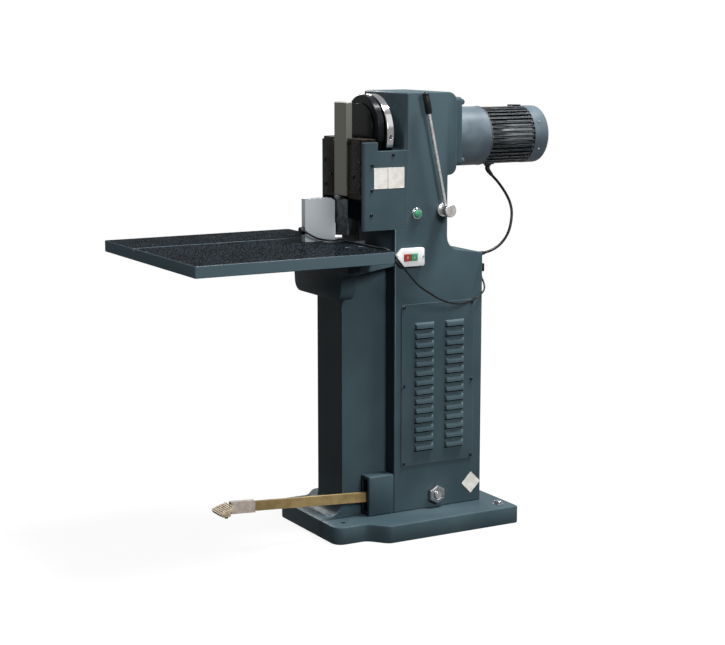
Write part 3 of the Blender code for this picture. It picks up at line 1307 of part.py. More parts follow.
def build_rotor(tool_steel, dark_plastic):
    """The motor's shaft stub and the cooling fan under the cowl."""
    disc_back_y = MOTOR_REAR_Y + MOTOR_SPIGOT_LENGTH + COWL_SHEET
    disc_rear_y = disc_back_y + FAN_DISC_THICKNESS
    tip_y = disc_rear_y + FAN_BLADE_HEIGHT
    shaft = cylinder("motor_shaft", "Y", (0.0, 0.0, MOTOR_AXIS_Z), ROTOR_RADIUS,
                     (MOTOR_REAR_Y - ROTOR_BORE_DEPTH + GAP, tip_y))
    finish(shaft, tool_steel)
    fan = turned("motor_fan", "Y", (0.0, 0.0, MOTOR_AXIS_Z), [
        (ROTOR_RADIUS + GAP, tip_y),
        (FAN_HUB_RADIUS, tip_y),
        (FAN_HUB_RADIUS, disc_rear_y),
        (FAN_RADIUS, disc_rear_y),
        (FAN_RADIUS, disc_back_y),
        (ROTOR_RADIUS + GAP, disc_back_y),
    ], steps=32)
    blades = []
    for index in range(FAN_BLADES):
        blade = block("blade", (FAN_HUB_RADIUS - OVERRUN / 2, FAN_RADIUS - FAN_BLADE_THICKNESS),
                      (disc_back_y + FAN_DISC_THICKNESS / 2, tip_y - FAN_BLADE_THICKNESS),
                      (-FAN_BLADE_THICKNESS / 2, FAN_BLADE_THICKNESS / 2), CUTTERS)
        blade.data.transform(Matrix.Rotation(math.tau * (index + 0.5) / FAN_BLADES, 4, "Y"))
        blade.data.transform(Matrix.Translation((0.0, 0.0, MOTOR_AXIS_Z)))
        blades.append(blade)
    add(fan, joined("fan_blades", blades))
    finish(fan, dark_plastic)
    return [shaft, fan]


def louvre_section(depth, height):
    """A quarter-round section, from the sheet out to the lip at the bottom."""
    points = [(0.0, 0.0)]
    for step in range(LOUVRE_ARC_STEPS + 1):
        angle = math.pi / 2 * step / LOUVRE_ARC_STEPS
        points.append((depth * math.cos(angle), height * math.sin(angle)))
    return points


def louvre_form(name, face_x, centre_y, bottom_z, depth, height, width, collection):
    """One louvre's solid, whose ends lean in towards the lip."""
    solid = prism(name, louvre_section(depth, height), "XZ", (-width / 2, width / 2), collection)
    for vertex in solid.data.vertices:
        vertex.co.y *= 1 - LOUVRE_TAPER_SHARE * max(vertex.co.x, 0.0) / depth
    solid.data.transform(Matrix.Translation((face_x, centre_y, bottom_z)))
    return solid


def build_louvre_cover(paint):
    """The bolted side cover with two columns of pressed louvres."""
    back_x = BODY_HALF_WIDTH + GAP
    face_x = back_x + COVER_THICKNESS
    outline = rounded([
        (COVER_FRONT_Y, COVER_BOTTOM_Z, COVER_CORNER_RADIUS),
        (COVER_REAR_Y, COVER_BOTTOM_Z, COVER_CORNER_RADIUS),
        (COVER_REAR_Y, COVER_TOP_Z, COVER_CORNER_RADIUS),
        (COVER_FRONT_Y, COVER_TOP_Z, COVER_CORNER_RADIUS),
    ], 2)
    cover = prism("louvre_cover", outline, "YZ", (back_x, face_x))
    hoods = []
    throats = []
    pitch = (LOUVRE_LAST_Z - LOUVRE_FIRST_Z) / (LOUVRE_ROWS - 1)
    for centre_y in LOUVRE_CENTRES_Y:
        for row in range(LOUVRE_ROWS):
            bottom_z = LOUVRE_FIRST_Z + pitch * row - LOUVRE_HEIGHT / 2
            hoods.append(louvre_form(
                "hood", face_x - COVER_THICKNESS / 2, centre_y, bottom_z,
                LOUVRE_DEPTH + COVER_THICKNESS / 2, LOUVRE_HEIGHT, LOUVRE_WIDTH, CUTTERS))
            throats.append(louvre_form(
                "throat", back_x - OVERRUN, centre_y, bottom_z - LOUVRE_SKIN,
                LOUVRE_DEPTH + COVER_THICKNESS + OVERRUN - LOUVRE_SKIN,
                LOUVRE_HEIGHT, LOUVRE_WIDTH - 4 * LOUVRE_SKIN, CUTTERS))
    add(cover, joined("louvre_hoods", hoods))
    cut(cover, joined("louvre_throats", throats))
    heads = []
    inset = COVER_SCREW_INSET
    for y in (COVER_FRONT_Y + inset, COVER_REAR_Y - inset):
        for z in (COVER_BOTTOM_Z + inset, (COVER_BOTTOM_Z + COVER_TOP_Z) / 2, COVER_TOP_Z - inset):
            heads.append(cylinder("screw", "X", (0.0, y, z), COVER_SCREW_RADIUS,
                                  (face_x - COVER_THICKNESS / 2, face_x + COVER_SCREW_HEAD),
                                  CUTTERS, 10))
    add(cover, joined("cover_screws", heads))
    return finish(cover, paint)


def bar_z(y):
    """Height of the pedal bar's middle line at a place along it."""
    return PEDAL_PIVOT_Z + PEDAL_BAR_SLOPE * (PEDAL_PIVOT_Y - y)


def sloped_bar(name, x_half, z_half, y_span, collection=None):
    """A bar round the pedal's sloped middle line."""
    low, high = y_span
    outline = [
        (low, bar_z(low) - z_half),
        (high, bar_z(high) - z_half),
        (high, bar_z(high) + z_half),
        (low, bar_z(low) + z_half),
    ]
    return prism(name, outline, "YZ", (PEDAL_X - x_half, PEDAL_X + x_half), collection)


def build_pedal(mustard, rubber, tool_steel, dark_steel):
    """The foot pedal, its cross shaft and the arm that pulls the clutch rod."""
    pivot = (0.0, PEDAL_PIVOT_Y, PEDAL_PIVOT_Z)
    arm = sloped_bar("pedal_bar", PEDAL_BAR_THICKNESS / 2, PEDAL_BAR_HEIGHT / 2,
                     (PEDAL_BAR_FRONT_Y, PEDAL_PIVOT_Y))
    hub = cylinder("pedal_hub", "X", pivot, PEDAL_HUB_RADIUS,
                   (PEDAL_X - PEDAL_HUB_WIDTH / 2, PEDAL_X + PEDAL_HUB_WIDTH / 2), CUTTERS, 28)
    hub_bore = cylinder("pedal_hub_bore", "X", pivot, PEDAL_SHAFT_RADIUS + GAP,
                        (PEDAL_X - PEDAL_HUB_WIDTH, PEDAL_X + PEDAL_HUB_WIDTH), CUTTERS)
    add(arm, hub)
    cut(arm, hub_bore)
    finish(arm, mustard)

    sleeve = sloped_bar("pedal_sleeve", PEDAL_SLEEVE_WIDTH / 2, PEDAL_SLEEVE_HEIGHT / 2,
                        (PEDAL_BAR_FRONT_Y, PEDAL_BAR_FRONT_Y + PEDAL_SLEEVE_LENGTH))
    sleeve_bore = sloped_bar("sleeve_bore", PEDAL_BAR_THICKNESS / 2 + GAP,
                             PEDAL_BAR_HEIGHT / 2 + GAP,
                             (PEDAL_BAR_FRONT_Y - OVERRUN,
                              PEDAL_BAR_FRONT_Y + PEDAL_SLEEVE_LENGTH + OVERRUN), CUTTERS)
    cut(sleeve, sleeve_bore)
    finish(sleeve, mustard)

    pad = build_pedal_pad(rubber)

    shaft = cylinder("pedal_shaft", "X", pivot, PEDAL_SHAFT_RADIUS,
                     (-PEDAL_SHAFT_END, PEDAL_SHAFT_END))
    finish(shaft, tool_steel)
    nuts = []
    for name, side in (("shaft_nut_right", 1), ("shaft_nut_left", -1)):
        inner = BODY_HALF_WIDTH + RAIL_CLEARANCE
        outer = inner + PEDAL_NUT_WIDTH
        profile = [
            (PEDAL_SHAFT_RADIUS + GAP, outer),
            (PEDAL_NUT_RADIUS - PEDAL_NUT_CHAMFER, outer),
            (PEDAL_NUT_RADIUS, outer - PEDAL_NUT_CHAMFER),
            (PEDAL_NUT_RADIUS, inner),
            (PEDAL_SHAFT_RADIUS + GAP, inner),
        ]
        nut = turned(name, "X", pivot, [(r, side * x) for r, x in profile], steps=24)
        nuts.append(finish(nut, dark_steel))

    reach = PULL_ARM_LENGTH
    lean = math.asin((ARM_HUB_RADIUS - ARM_EYE_RADIUS) / reach)
    outline = circle_arc((PEDAL_PIVOT_Y, PEDAL_PIVOT_Z), ARM_HUB_RADIUS,
                         -math.pi / 2 - lean, math.pi / 2 + lean, 14)
    outline += circle_arc((PULL_ROD_Y, PEDAL_PIVOT_Z), ARM_EYE_RADIUS,
                          math.pi / 2 + lean, 3 * math.pi / 2 - lean, 10)
    clutch_arm = prism("clutch_arm", outline, "YZ", (-ARM_THICKNESS / 2, ARM_THICKNESS / 2))
    arm_bore = cylinder("arm_bore", "X", pivot, PEDAL_SHAFT_RADIUS + GAP,
                        (-ARM_THICKNESS, ARM_THICKNESS), CUTTERS)
    eye_bore = cylinder("arm_eye_bore", "X", (0.0, PULL_ROD_Y, PEDAL_PIVOT_Z),
                        CLEVIS_PIN_RADIUS + ARM_EYE_CLEARANCE,
                        (-ARM_THICKNESS, ARM_THICKNESS), CUTTERS)
    cut(clutch_arm, arm_bore)
    cut(clutch_arm, eye_bore)
    finish(clutch_arm, dark_steel)
    return [arm, sleeve, pad, shaft, *nuts, clutch_arm]


def build_pedal_pad(rubber):
    """The tilted treadle, with cross ribs on top and a lug beneath."""
    half_width = PEDAL_PAD_WIDTH / 2
    half_length = PEDAL_PAD_LENGTH / 2
    radius = PEDAL_PAD_CORNER_RADIUS
    outline = rounded([
        (-half_width, -half_length, radius),
        (half_width, -half_length, radius),
        (half_width, half_length, radius),
        (-half_width, half_length, radius),
    ], 3)
    pad = prism("pedal_pad", outline, "XY", (-PEDAL_PAD_THICKNESS, 0.0))
    ribs = []
    spacing = PEDAL_PAD_LENGTH / (PEDAL_TREADS + 1)
    for index in range(PEDAL_TREADS):
        y = -half_length + spacing * (index + 1)
        ribs.append(block("rib", (-half_width + radius, half_width - radius),
                          (y - PEDAL_TREAD_WIDTH / 2, y + PEDAL_TREAD_WIDTH / 2),
                          (-PEDAL_TREAD_HEIGHT, PEDAL_TREAD_HEIGHT), CUTTERS))
    treads = joined("pad_treads", ribs)
    place = (Matrix.Translation((PEDAL_X, PEDAL_PAD_CENTRE_Y, PEDAL_PAD_CENTRE_Z))
             @ Matrix.Rotation(PEDAL_PAD_TILT, 4, "X"))
    pad.data.transform(place)
    treads.data.transform(place)
    rear_y = PEDAL_BAR_FRONT_Y - GAP
    top_z = PEDAL_PAD_CENTRE_Z - PEDAL_PAD_THICKNESS / 2
    lug = block("pad_lug", (PEDAL_X - PEDAL_BAR_THICKNESS / 2, PEDAL_X + PEDAL_BAR_THICKNESS / 2),
                (rear_y - PEDAL_LUG_LENGTH, rear_y), (top_z - PEDAL_LUG_DEPTH, top_z), CUTTERS)
    add(pad, treads)
    add(pad, lug)
    room = block("sleeve_room", (PEDAL_X - PEDAL_PAD_WIDTH, PEDAL_X + PEDAL_PAD_WIDTH),
                 (rear_y, rear_y + PEDAL_PAD_LENGTH),
                 (top_z - PEDAL_PAD_WIDTH, top_z + PEDAL_PAD_WIDTH), CUTTERS)
    cut(pad, room)
    return finish(pad, rubber)


def build_pull_rod(tool_steel, dark_steel):
    """The upright rod with its clevis, spring collar and clutch wedge."""
    place = (0.0, PULL_ROD_Y, 0.0)
    rod = cylinder("pull_rod", "Z", place, PULL_ROD_RADIUS,
                   (CLEVIS_TOP_Z - CLEVIS_WALL, PULL_ROD_TOP_Z))
    inner = ARM_THICKNESS / 2 + CLEVIS_SIDE_CLEARANCE
    outer = inner + CLEVIS_WALL
    fork = block("clevis", (-outer, outer),
                 (PULL_ROD_Y - CLEVIS_HALF_DEPTH, PULL_ROD_Y + CLEVIS_HALF_DEPTH),
                 (PEDAL_PIVOT_Z - CLEVIS_DROP, CLEVIS_TOP_Z), CUTTERS)
    throat = block("clevis_throat", (-inner, inner),
                   (PULL_ROD_Y - CLEVIS_HALF_DEPTH - OVERRUN,
                    PULL_ROD_Y + CLEVIS_HALF_DEPTH + OVERRUN),
                   (PEDAL_PIVOT_Z - CLEVIS_DROP - OVERRUN,
                    PEDAL_PIVOT_Z + ARM_EYE_RADIUS + CLEVIS_TOP_CLEARANCE), CUTTERS)
    pin = cylinder("clevis_pin", "X", (0.0, PULL_ROD_Y, PEDAL_PIVOT_Z), CLEVIS_PIN_RADIUS,
                   (-outer - CLEVIS_SIDE_CLEARANCE, outer + CLEVIS_SIDE_CLEARANCE), CUTTERS, 16)
    add(rod, fork)
    cut(rod, throat)
    add(rod, pin)
    finish(rod, tool_steel)

    collar_bottom_z = SEAT_Z + SEAT_THICKNESS + 2 * GAP + SPRING_LENGTH
    collar = turned("spring_collar", "Z", place, [
        (PULL_ROD_RADIUS + GAP, collar_bottom_z + COLLAR_HEIGHT),
        (COLLAR_RADIUS, collar_bottom_z + COLLAR_HEIGHT),
        (COLLAR_RADIUS, collar_bottom_z),
        (PULL_ROD_RADIUS + GAP, collar_bottom_z),
    ], steps=24)
    finish(collar, tool_steel)

    wedge_bottom_z = PULL_ROD_TOP_Z + GAP
    half = WEDGE_HALF_WIDTH
    outline = [
        (PULL_ROD_Y - half, wedge_bottom_z),
        (PULL_ROD_Y + half, wedge_bottom_z),
        (PULL_ROD_Y + half, wedge_bottom_z + WEDGE_HEIGHT * WEDGE_TIP_SHARE),
        (PULL_ROD_Y + half * WEDGE_TIP_SHARE, wedge_bottom_z + WEDGE_HEIGHT),
        (PULL_ROD_Y - half * WEDGE_TIP_SHARE, wedge_bottom_z + WEDGE_HEIGHT),
        (PULL_ROD_Y - half, wedge_bottom_z + WEDGE_HEIGHT * WEDGE_TIP_SHARE),
    ]
    wedge = prism("clutch_wedge", outline, "YZ", (-half, half))
    finish(wedge, dark_steel)
    return [rod, collar, wedge]


def build_spring_seat(dark_steel):
    """The angle bracket on the chamber's wall that carries the return spring."""
    wall_x = -(BODY_HALF_WIDTH - BODY_WALL) + GAP
    near_x = COLLAR_RADIUS + GAP
    y_span = (PULL_ROD_Y - SEAT_HALF_DEPTH, PULL_ROD_Y + SEAT_HALF_DEPTH)
    seat = block("spring_seat", (wall_x, near_x), y_span, (SEAT_Z, SEAT_Z + SEAT_THICKNESS))
    flange = block("seat_flange", (wall_x, wall_x + SEAT_THICKNESS), y_span,
                   (SEAT_Z - SEAT_FLANGE_HEIGHT, SEAT_Z + SEAT_THICKNESS / 2), CUTTERS)
    hole = cylinder("seat_hole", "Z", (0.0, PULL_ROD_Y, 0.0), PULL_ROD_RADIUS + SEAT_HOLE_CLEARANCE,
                    (SEAT_Z - OVERRUN, SEAT_Z + SEAT_THICKNESS + OVERRUN), CUTTERS)
    add(seat, flange)
    cut(seat, hole)
    return finish(seat, dark_steel)


def build_return_spring(tool_steel):
    """The coil round the pull rod, between its seat and its collar."""
    wire = SPRING_WIRE_RADIUS
    bottom_z = SEAT_Z + SEAT_THICKNESS + GAP + wire
    rise = SPRING_LENGTH - 2 * wire
    count = SPRING_CURLS * SPRING_POINTS_PER_CURL
    points = []
    for index in range(count + 1):
        share = index / count
        angle = math.tau * SPRING_CURLS * share
        points.append((SPRING_MEAN_RADIUS * math.cos(angle),
                       PULL_ROD_Y + SPRING_MEAN_RADIUS * math.sin(angle),
                       bottom_z + rise * share))
    pitch = rise / SPRING_CURLS
    print("return_spring least gap between curls, mm:", round((pitch - 2 * wire) * 1000, 3))
    spring = tube("return_spring", points, wire, SPRING_BEVEL_RESOLUTION)
    return finish(spring, tool_steel)


def tube(name, points, radius, resolution):
    """A round tube with filled ends along points."""
    curve = bpy.data.curves.new(name, "CURVE")
    curve.dimensions = "3D"
    curve.bevel_depth = radius
    curve.bevel_resolution = resolution
    curve.use_fill_caps = True
    spline = curve.splines.new("POLY")
    spline.points.add(len(points) - 1)
    for point, place in zip(spline.points, points):
        point.co = (*place, 1.0)
    obj = bpy.data.objects.new(name, curve)
    PRESS.objects.link(obj)
    return obj


def between(first, second, start, end, place):
    """Blend two points by where a place lies between their own places."""
    share = (place - start) / (end - start)
    return first.lerp(second, share)


def smooth_span(a, b, c, d, share):
    """A point between b and c on the smooth curve through four points."""
    places = [0.0]
    for first, second in ((a, b), (b, c), (c, d)):
        places.append(places[-1] + math.sqrt((second - first).length))
    p, q, r, s = places
    t = q + (r - q) * share
    ab = between(a, b, p, q, t)
    bc = between(b, c, q, r, t)
    cd = between(c, d, r, s, t)
    return between(between(ab, bc, p, r, t), between(bc, cd, q, s, t), q, r, t)


def smooth_route(route, spacing):
    """Read points at even steps from a smooth curve through a route's points.

    The first and last two points of the route stay as they are, so that the tube's
    ends run straight and square to what they meet.
    """
    knots = [Vector(point) for point in route]
    dense = []
    for a, b, c, d in zip(knots, knots[1:], knots[2:], knots[3:]):
        for step in range(ROUTE_FINE_STEPS):
            dense.append(smooth_span(a, b, c, d, step / ROUTE_FINE_STEPS))
    dense.append(knots[-2])
    lengths = [0.0]
    for first, second in zip(dense, dense[1:]):
        lengths.append(lengths[-1] + (second - first).length)
    middle = lengths[-1]
    count = max(2, round(middle / spacing))
    points = [knots[0]]
    index = 0
    for step in range(count + 1):
        target = middle * step / count
        while index < len(lengths) - 2 and lengths[index + 1] < target:
            index += 1
        share = (target - lengths[index]) / (lengths[index + 1] - lengths[index])
        points.append(dense[index].lerp(dense[index + 1], share))
    points.append(knots[-1])
    ends = (knots[1] - knots[0]).length + (knots[-1] - knots[-2]).length
    return points, middle + ends


def motor_gland_top_z():
    """Height of the seat of the gland under the motor."""
    return MOTOR_AXIS_Z - MOTOR_FIN_RADIUS - MOTOR_PAD_DROP - GAP


def build_cords(rubber):
    """The two free cords, each between two glands."""
    top_z = motor_gland_top_z() - MOTOR_GLAND_LENGTH - GAP
    drop = top_z - REAR_GLAND_Z
    motor_route = [(x, y, top_z - drop * share) for x, y, share in MOTOR_CORD_ROUTE]
    cords = []
    for name, route, radius in (
        ("motor_cord", motor_route, MOTOR_CORD_RADIUS),
        ("guard_cord", GUARD_CORD_ROUTE, GUARD_CORD_RADIUS),
    ):
        points, length = smooth_route(route, CORD_SPACING * 2 * radius)
        print(name, "length, mm:", round(length * 1000), "points:", len(points))
        resolution = CORD_BEVEL_RESOLUTION
        cords.append(finish(tube(name, points, radius, resolution), rubber))
    return cords


def build_glands(rubber):
    """The strain reliefs that the cords come out of."""
    base = GLAND_BASE_RADIUS
    nose = GLAND_NOSE_RADIUS
    bottom = motor_gland_top_z()
    waist = bottom - MOTOR_GLAND_LENGTH * GLAND_BASE_SHARE
    motor_gland = turned("motor_gland", "Z", (0.0, MOTOR_PAD_CENTRE_Y, 0.0), [
        (0.0, bottom), (base, bottom), (base, waist), (nose, waist),
        (nose, bottom - MOTOR_GLAND_LENGTH), (0.0, bottom - MOTOR_GLAND_LENGTH),
    ], steps=SMALL_ROUND_STEPS)
    start = BODY_REAR_Y + GAP
    waist = start + GLAND_LENGTH * GLAND_BASE_SHARE
    rear_gland = turned("rear_gland", "Y", (REAR_GLAND_X, 0.0, REAR_GLAND_Z), [
        (0.0, start + GLAND_LENGTH), (nose, start + GLAND_LENGTH), (nose, waist),
        (base, waist), (base, start), (0.0, start),
    ], steps=SMALL_ROUND_STEPS)
    half = ELBOW_HALF_SIZE
    elbow = block("rear_elbow_gland", (ELBOW_X - half, ELBOW_X + half),
                  (start, start + ELBOW_DEPTH), (ELBOW_Z - half, ELBOW_Z + half))
    bevel(elbow, ELBOW_BEVEL)
    front = GUARD_FRONT_Y - GAP
    guard_gland = cylinder("guard_gland", "Y", (0.0, 0.0, GUARD_GLAND_Z), GUARD_GLAND_RADIUS,
                           (front - GUARD_GLAND_LENGTH, front))
    outlet = cylinder("guard_outlet", "X", (0.0, front - GUARD_GLAND_LENGTH / 2, GUARD_GLAND_Z),
                      GUARD_CORD_RADIUS + GUARD_SHEET,
                      (0.0, GUARD_GLAND_RADIUS + GUARD_OUTLET_LENGTH), CUTTERS)
    add(guard_gland, outlet)
    glands = [motor_gland, rear_gland, elbow, guard_gland]
    return [finish(gland, rubber) for gland in glands]


def build_guard(grey):
    """The folded sheet guard before the punch, open behind and on top."""
    half = GUARD_HALF_WIDTH
    bottom = TABLE_TOP_Z + GAP
    top = bottom + GUARD_HEIGHT
    outline = [
        (GUARD_FRONT_Y, bottom),
        (GUARD_REAR_Y, bottom),
        (GUARD_REAR_Y, top - GUARD_CORNER_CUT_Z),
        (GUARD_REAR_Y - GUARD_CORNER_CUT_Y, top),
        (GUARD_FRONT_Y, top),
    ]
    guard = prism("front_guard", outline, "YZ", (-half, half))
    inner = half - GUARD_SHEET
    hollow = block("guard_hollow", (-inner, inner),
                   (GUARD_FRONT_Y + GUARD_SHEET, GUARD_REAR_Y + OVERRUN),
                   (bottom + GUARD_FOOT_HEIGHT, top + OVERRUN), CUTTERS)
    cut(guard, hollow)
    return finish(guard, grey)


def build_lever(chrome, rubber, tool_steel):
    """The hand lever: boss on the casting, hub with knob, rod and grip."""
    axis = (0.0, LEVER_AXIS_Y, LEVER_AXIS_Z)
    boss_start = BODY_HALF_WIDTH + GAP
    boss_end = boss_start + LEVER_BOSS_LENGTH
    boss = turned("lever_boss", "X", axis, [
        (LEVER_SHAFT_RADIUS + GAP, boss_end),
        (LEVER_BOSS_RADIUS, boss_end),
        (LEVER_BOSS_RADIUS, boss_start),
        (LEVER_SHAFT_RADIUS + GAP, boss_start),
    ], steps=24)
    finish(boss, tool_steel)
    hub_start = boss_end + GAP
    hub_end = hub_start + LEVER_HUB_LENGTH
    knob_end = hub_end + LEVER_KNOB_LENGTH
    chamfer = LEVER_KNOB_CHAMFER
    hub = turned("lever_hub", "X", axis, [
        (0.0, knob_end),
        (LEVER_KNOB_RADIUS - chamfer, knob_end),
        (LEVER_KNOB_RADIUS, knob_end - chamfer),
        (LEVER_KNOB_RADIUS, hub_end),
        (LEVER_HUB_RADIUS, hub_end),
        (LEVER_HUB_RADIUS, hub_start),
        (LEVER_SHAFT_RADIUS, hub_start),
        (LEVER_SHAFT_RADIUS, BODY_HALF_WIDTH - LEVER_SHAFT_DEPTH),
        (0.0, BODY_HALF_WIDTH - LEVER_SHAFT_DEPTH),
    ], steps=28)
    finish(hub, chrome)
    middle_x = (hub_start + hub_end) / 2
    lean = (Matrix.Translation((middle_x, LEVER_AXIS_Y, LEVER_AXIS_Z))
            @ Matrix.Rotation(LEVER_LEAN, 4, "X"))
    grip_start = LEVER_LENGTH - GRIP_LENGTH
    rod = cylinder("lever_rod", "Z", (0.0, 0.0, 0.0), LEVER_ROD_RADIUS,
                   (LEVER_HUB_RADIUS / 2, grip_start + GRIP_BORE_DEPTH - GAP), steps=16)
    rod.data.transform(lean)
    hub_seat = cylinder("rod_seat", "Z", (0.0, 0.0, 0.0), LEVER_ROD_RADIUS + GAP,
                        (LEVER_HUB_RADIUS / 2 - GAP, LEVER_HUB_RADIUS + OVERRUN), CUTTERS, 16)
    hub_seat.data.transform(lean)
    cut(hub, hub_seat)
    finish(rod, chrome)
    rounding = GRIP_END_ROUNDING
    bore = LEVER_ROD_RADIUS + GAP
    grip = turned("lever_grip", "Z", (0.0, 0.0, 0.0), [
        (0.0, LEVER_LENGTH),
        (GRIP_RADIUS - rounding, LEVER_LENGTH),
        (GRIP_RADIUS, LEVER_LENGTH - rounding),
        (GRIP_RADIUS, grip_start + rounding / 2),
        (GRIP_RADIUS - rounding / 2, grip_start),
        (bore, grip_start),
        (bore, grip_start + GRIP_BORE_DEPTH),
        (0.0, grip_start + GRIP_BORE_DEPTH),
    ], steps=24)
    grip.data.transform(lean)
    finish(grip, rubber)
    return boss, [hub, rod, grip]


def build_push_button(chrome, green):
    """The round push button and its bezel on the neck."""
    axis = (0.0, BUTTON_Y, BUTTON_Z)
    start = BODY_HALF_WIDTH + GAP
    face = start + BEZEL_HEIGHT
    bezel = turned("button_bezel", "X", axis, [
        (BUTTON_RADIUS + GAP, face),
        (BEZEL_RADIUS - BEZEL_LIP / 2, face),
        (BEZEL_RADIUS, face - BEZEL_LIP),
        (BEZEL_RADIUS, start),
        (BUTTON_RADIUS + GAP, start),
    ], steps=28)
    finish(bezel, chrome)
    top = face + BUTTON_PROUD
    neck = top - BUTTON_HEAD_DEPTH
    button = turned("push_button", "X", axis, [
        (0.0, top),
        (BUTTON_RADIUS * BUTTON_DOME_SHARE, top - BUTTON_PROUD * BUTTON_DOME_DROP_SHARE),
        (BUTTON_RADIUS, top - BUTTON_PROUD / 2),
        (BUTTON_RADIUS, neck),
        (BUTTON_STEM_RADIUS, neck),
        (BUTTON_STEM_RADIUS, neck - BUTTON_STEM_LENGTH),
        (0.0, neck - BUTTON_STEM_LENGTH),
    ], steps=28)
    finish(button, green)
    return bezel, button


def build_switch(white, red, green):
    """The switch box with its tapered end and its two square buttons."""
    front, rear = SWITCH_FRONT_Y, SWITCH_REAR_Y
    bottom, top = SWITCH_BOTTOM_Z, SWITCH_TOP_Z
    radius = SWITCH_CORNER_RADIUS
    outline = rounded([
        (front, bottom + SWITCH_TAPER_Z, radius),
        (front + SWITCH_TAPER_Y, bottom, radius),
        (rear, bottom, radius),
        (rear, top, radius),
        (front + SWITCH_TAPER_Y, top, radius),
        (front, top - SWITCH_TAPER_Z, radius),
    ], 3)
    start = BODY_HALF_WIDTH + GAP
    face = start + SWITCH_DEPTH
    box = prism("switch_box", outline, "YZ", (start, face))
    bevel(box, SWITCH_EDGE_BEVEL)
    buttons = []
    for name, y, material in (("switch_red", SWITCH_RED_Y, red),
                              ("switch_green", SWITCH_GREEN_Y, green)):
        half_width = SWITCH_BUTTON_WIDTH / 2
        half_height = SWITCH_BUTTON_HEIGHT / 2
        pocket = block("pocket_" + name, (face - SWITCH_POCKET_DEPTH, face + OVERRUN),
                       (y - half_width - GAP, y + half_width + GAP),
                       (SWITCH_BUTTON_Z - half_height - GAP, SWITCH_BUTTON_Z + half_height + GAP),
                       CUTTERS)
        cut(box, pocket)
        top_x = face + SWITCH_BUTTON_PROUD
        button = block(name, (top_x - SWITCH_BUTTON_DEPTH, top_x), (y - half_width, y + half_width),
                       (SWITCH_BUTTON_Z - half_height, SWITCH_BUTTON_Z + half_height))
        bevel(button, SWITCH_BUTTON_BEVEL, 1)
        buttons.append(finish(button, material))
    finish(box, white)
    return box, buttons


def main():
    """Build every piece of the press."""
    paint = make_material("slate_enamel", PAINT, 0.42, 0.0)
    dark_paint = make_material("black_enamel", DARK_PAINT, 0.35, 0.0)
    bright = make_material("polished_steel", BRIGHT_STEEL, 0.18, 1.0)
    brushed = make_material("brushed_steel", BRUSHED_STEEL, 0.45, 0.9)
    tool = make_material("tool_steel", TOOL_STEEL, 0.30, 0.9)
    aluminium = make_material("painted_aluminium", CAST_ALUMINIUM, 0.40, 0.4)
    grey = make_material("galvanised_sheet", LIGHT_GREY, 0.45, 0.3)
    rubber = make_material("black_rubber", BLACK_PLASTIC, 0.55, 0.0)
    dark_plastic = make_material("black_plastic", BLACK_PLASTIC, 0.40, 0.0)
    white = make_material("white_plastic", WHITE_PLASTIC, 0.35, 0.0)
    red = make_material("red_plastic", RED_PLASTIC, 0.35, 0.0)
    green = make_material("green_plastic", GREEN_PLASTIC, 0.25, 0.0)
    mustard = make_material("mustard_enamel", MUSTARD_PAINT, 0.50, 0.0)
    bronze = make_material("bearing_bronze", BRONZE, 0.35, 1.0)

    build_base_plate(paint)
    build_column(paint)
    build_front_post(paint)
    build_pedal_housing(paint)
    build_saddle(paint)
    build_table(paint)
    build_die(tool)
    build_side_plates(paint)
    build_guide_rails(dark_paint)
    build_bushes(bronze)
    build_drive(paint, aluminium)
    build_louvre_cover(paint)
    build_spring_seat(dark_paint)
    build_return_spring(tool)
    build_guard(grey)
    build_glands(rubber)
    build_cords(rubber)

    ram_parts = build_ram(brushed, tool, dark_paint)
    crank_parts = build_crank(bright, tool, dark_paint)
    rod = build_connecting_rod(dark_paint)
    rotor_parts = build_rotor(tool, dark_plastic)
    pedal_parts = build_pedal(mustard, rubber, tool, dark_paint)
    pull_parts = build_pull_rod(tool, dark_paint)
    _, lever_parts = build_lever(bright, rubber, tool)
    _, button = build_push_button(bright, green)
    _, (red_button, green_button) = build_switch(white, red, green)

    hang_on("ram_axis", (0.0, RAM_FRONT_Y, RAM_BOTTOM_Z), ram_parts)
    hang_on("crank_axis", (0.0, DISC_FRONT_Y, CRANK_AXIS_Z), crank_parts)
    hang_on("rod_axis", (0.0, ROD_FRONT_Y, ECCENTRIC_AXIS_Z), [rod])
    hang_on("rotor_axis", (0.0, MOTOR_REAR_Y, MOTOR_AXIS_Z), rotor_parts)
    hang_on("pedal_axis", (PEDAL_X, PEDAL_PIVOT_Y, PEDAL_PIVOT_Z), pedal_parts)
    hang_on("pull_axis", (0.0, PULL_ROD_Y, PEDAL_PIVOT_Z), pull_parts)
    hang_on("lever_axis", (BODY_HALF_WIDTH, LEVER_AXIS_Y, LEVER_AXIS_Z), lever_parts)
    hang_on("button_axis", (BODY_HALF_WIDTH, BUTTON_Y, BUTTON_Z), [button])
    hang_on("switch_red_axis", (BODY_HALF_WIDTH, SWITCH_RED_Y, SWITCH_BUTTON_Z), [red_button])
    hang_on("switch_green_axis", (BODY_HALF_WIDTH, SWITCH_GREEN_Y, SWITCH_BUTTON_Z),
            [green_button])


main()
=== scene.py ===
"""Corner notching press: finishes, cords, return spring, fasteners and blank plates.

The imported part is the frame. The press stands on the floor at z = 0, the operator
stands at -Y, the motor is at +Y, and +X is the operator's right. All lengths are metres.
"""

import json
import logging
import math
from dataclasses import dataclass, field
from enum import Enum
from itertools import product

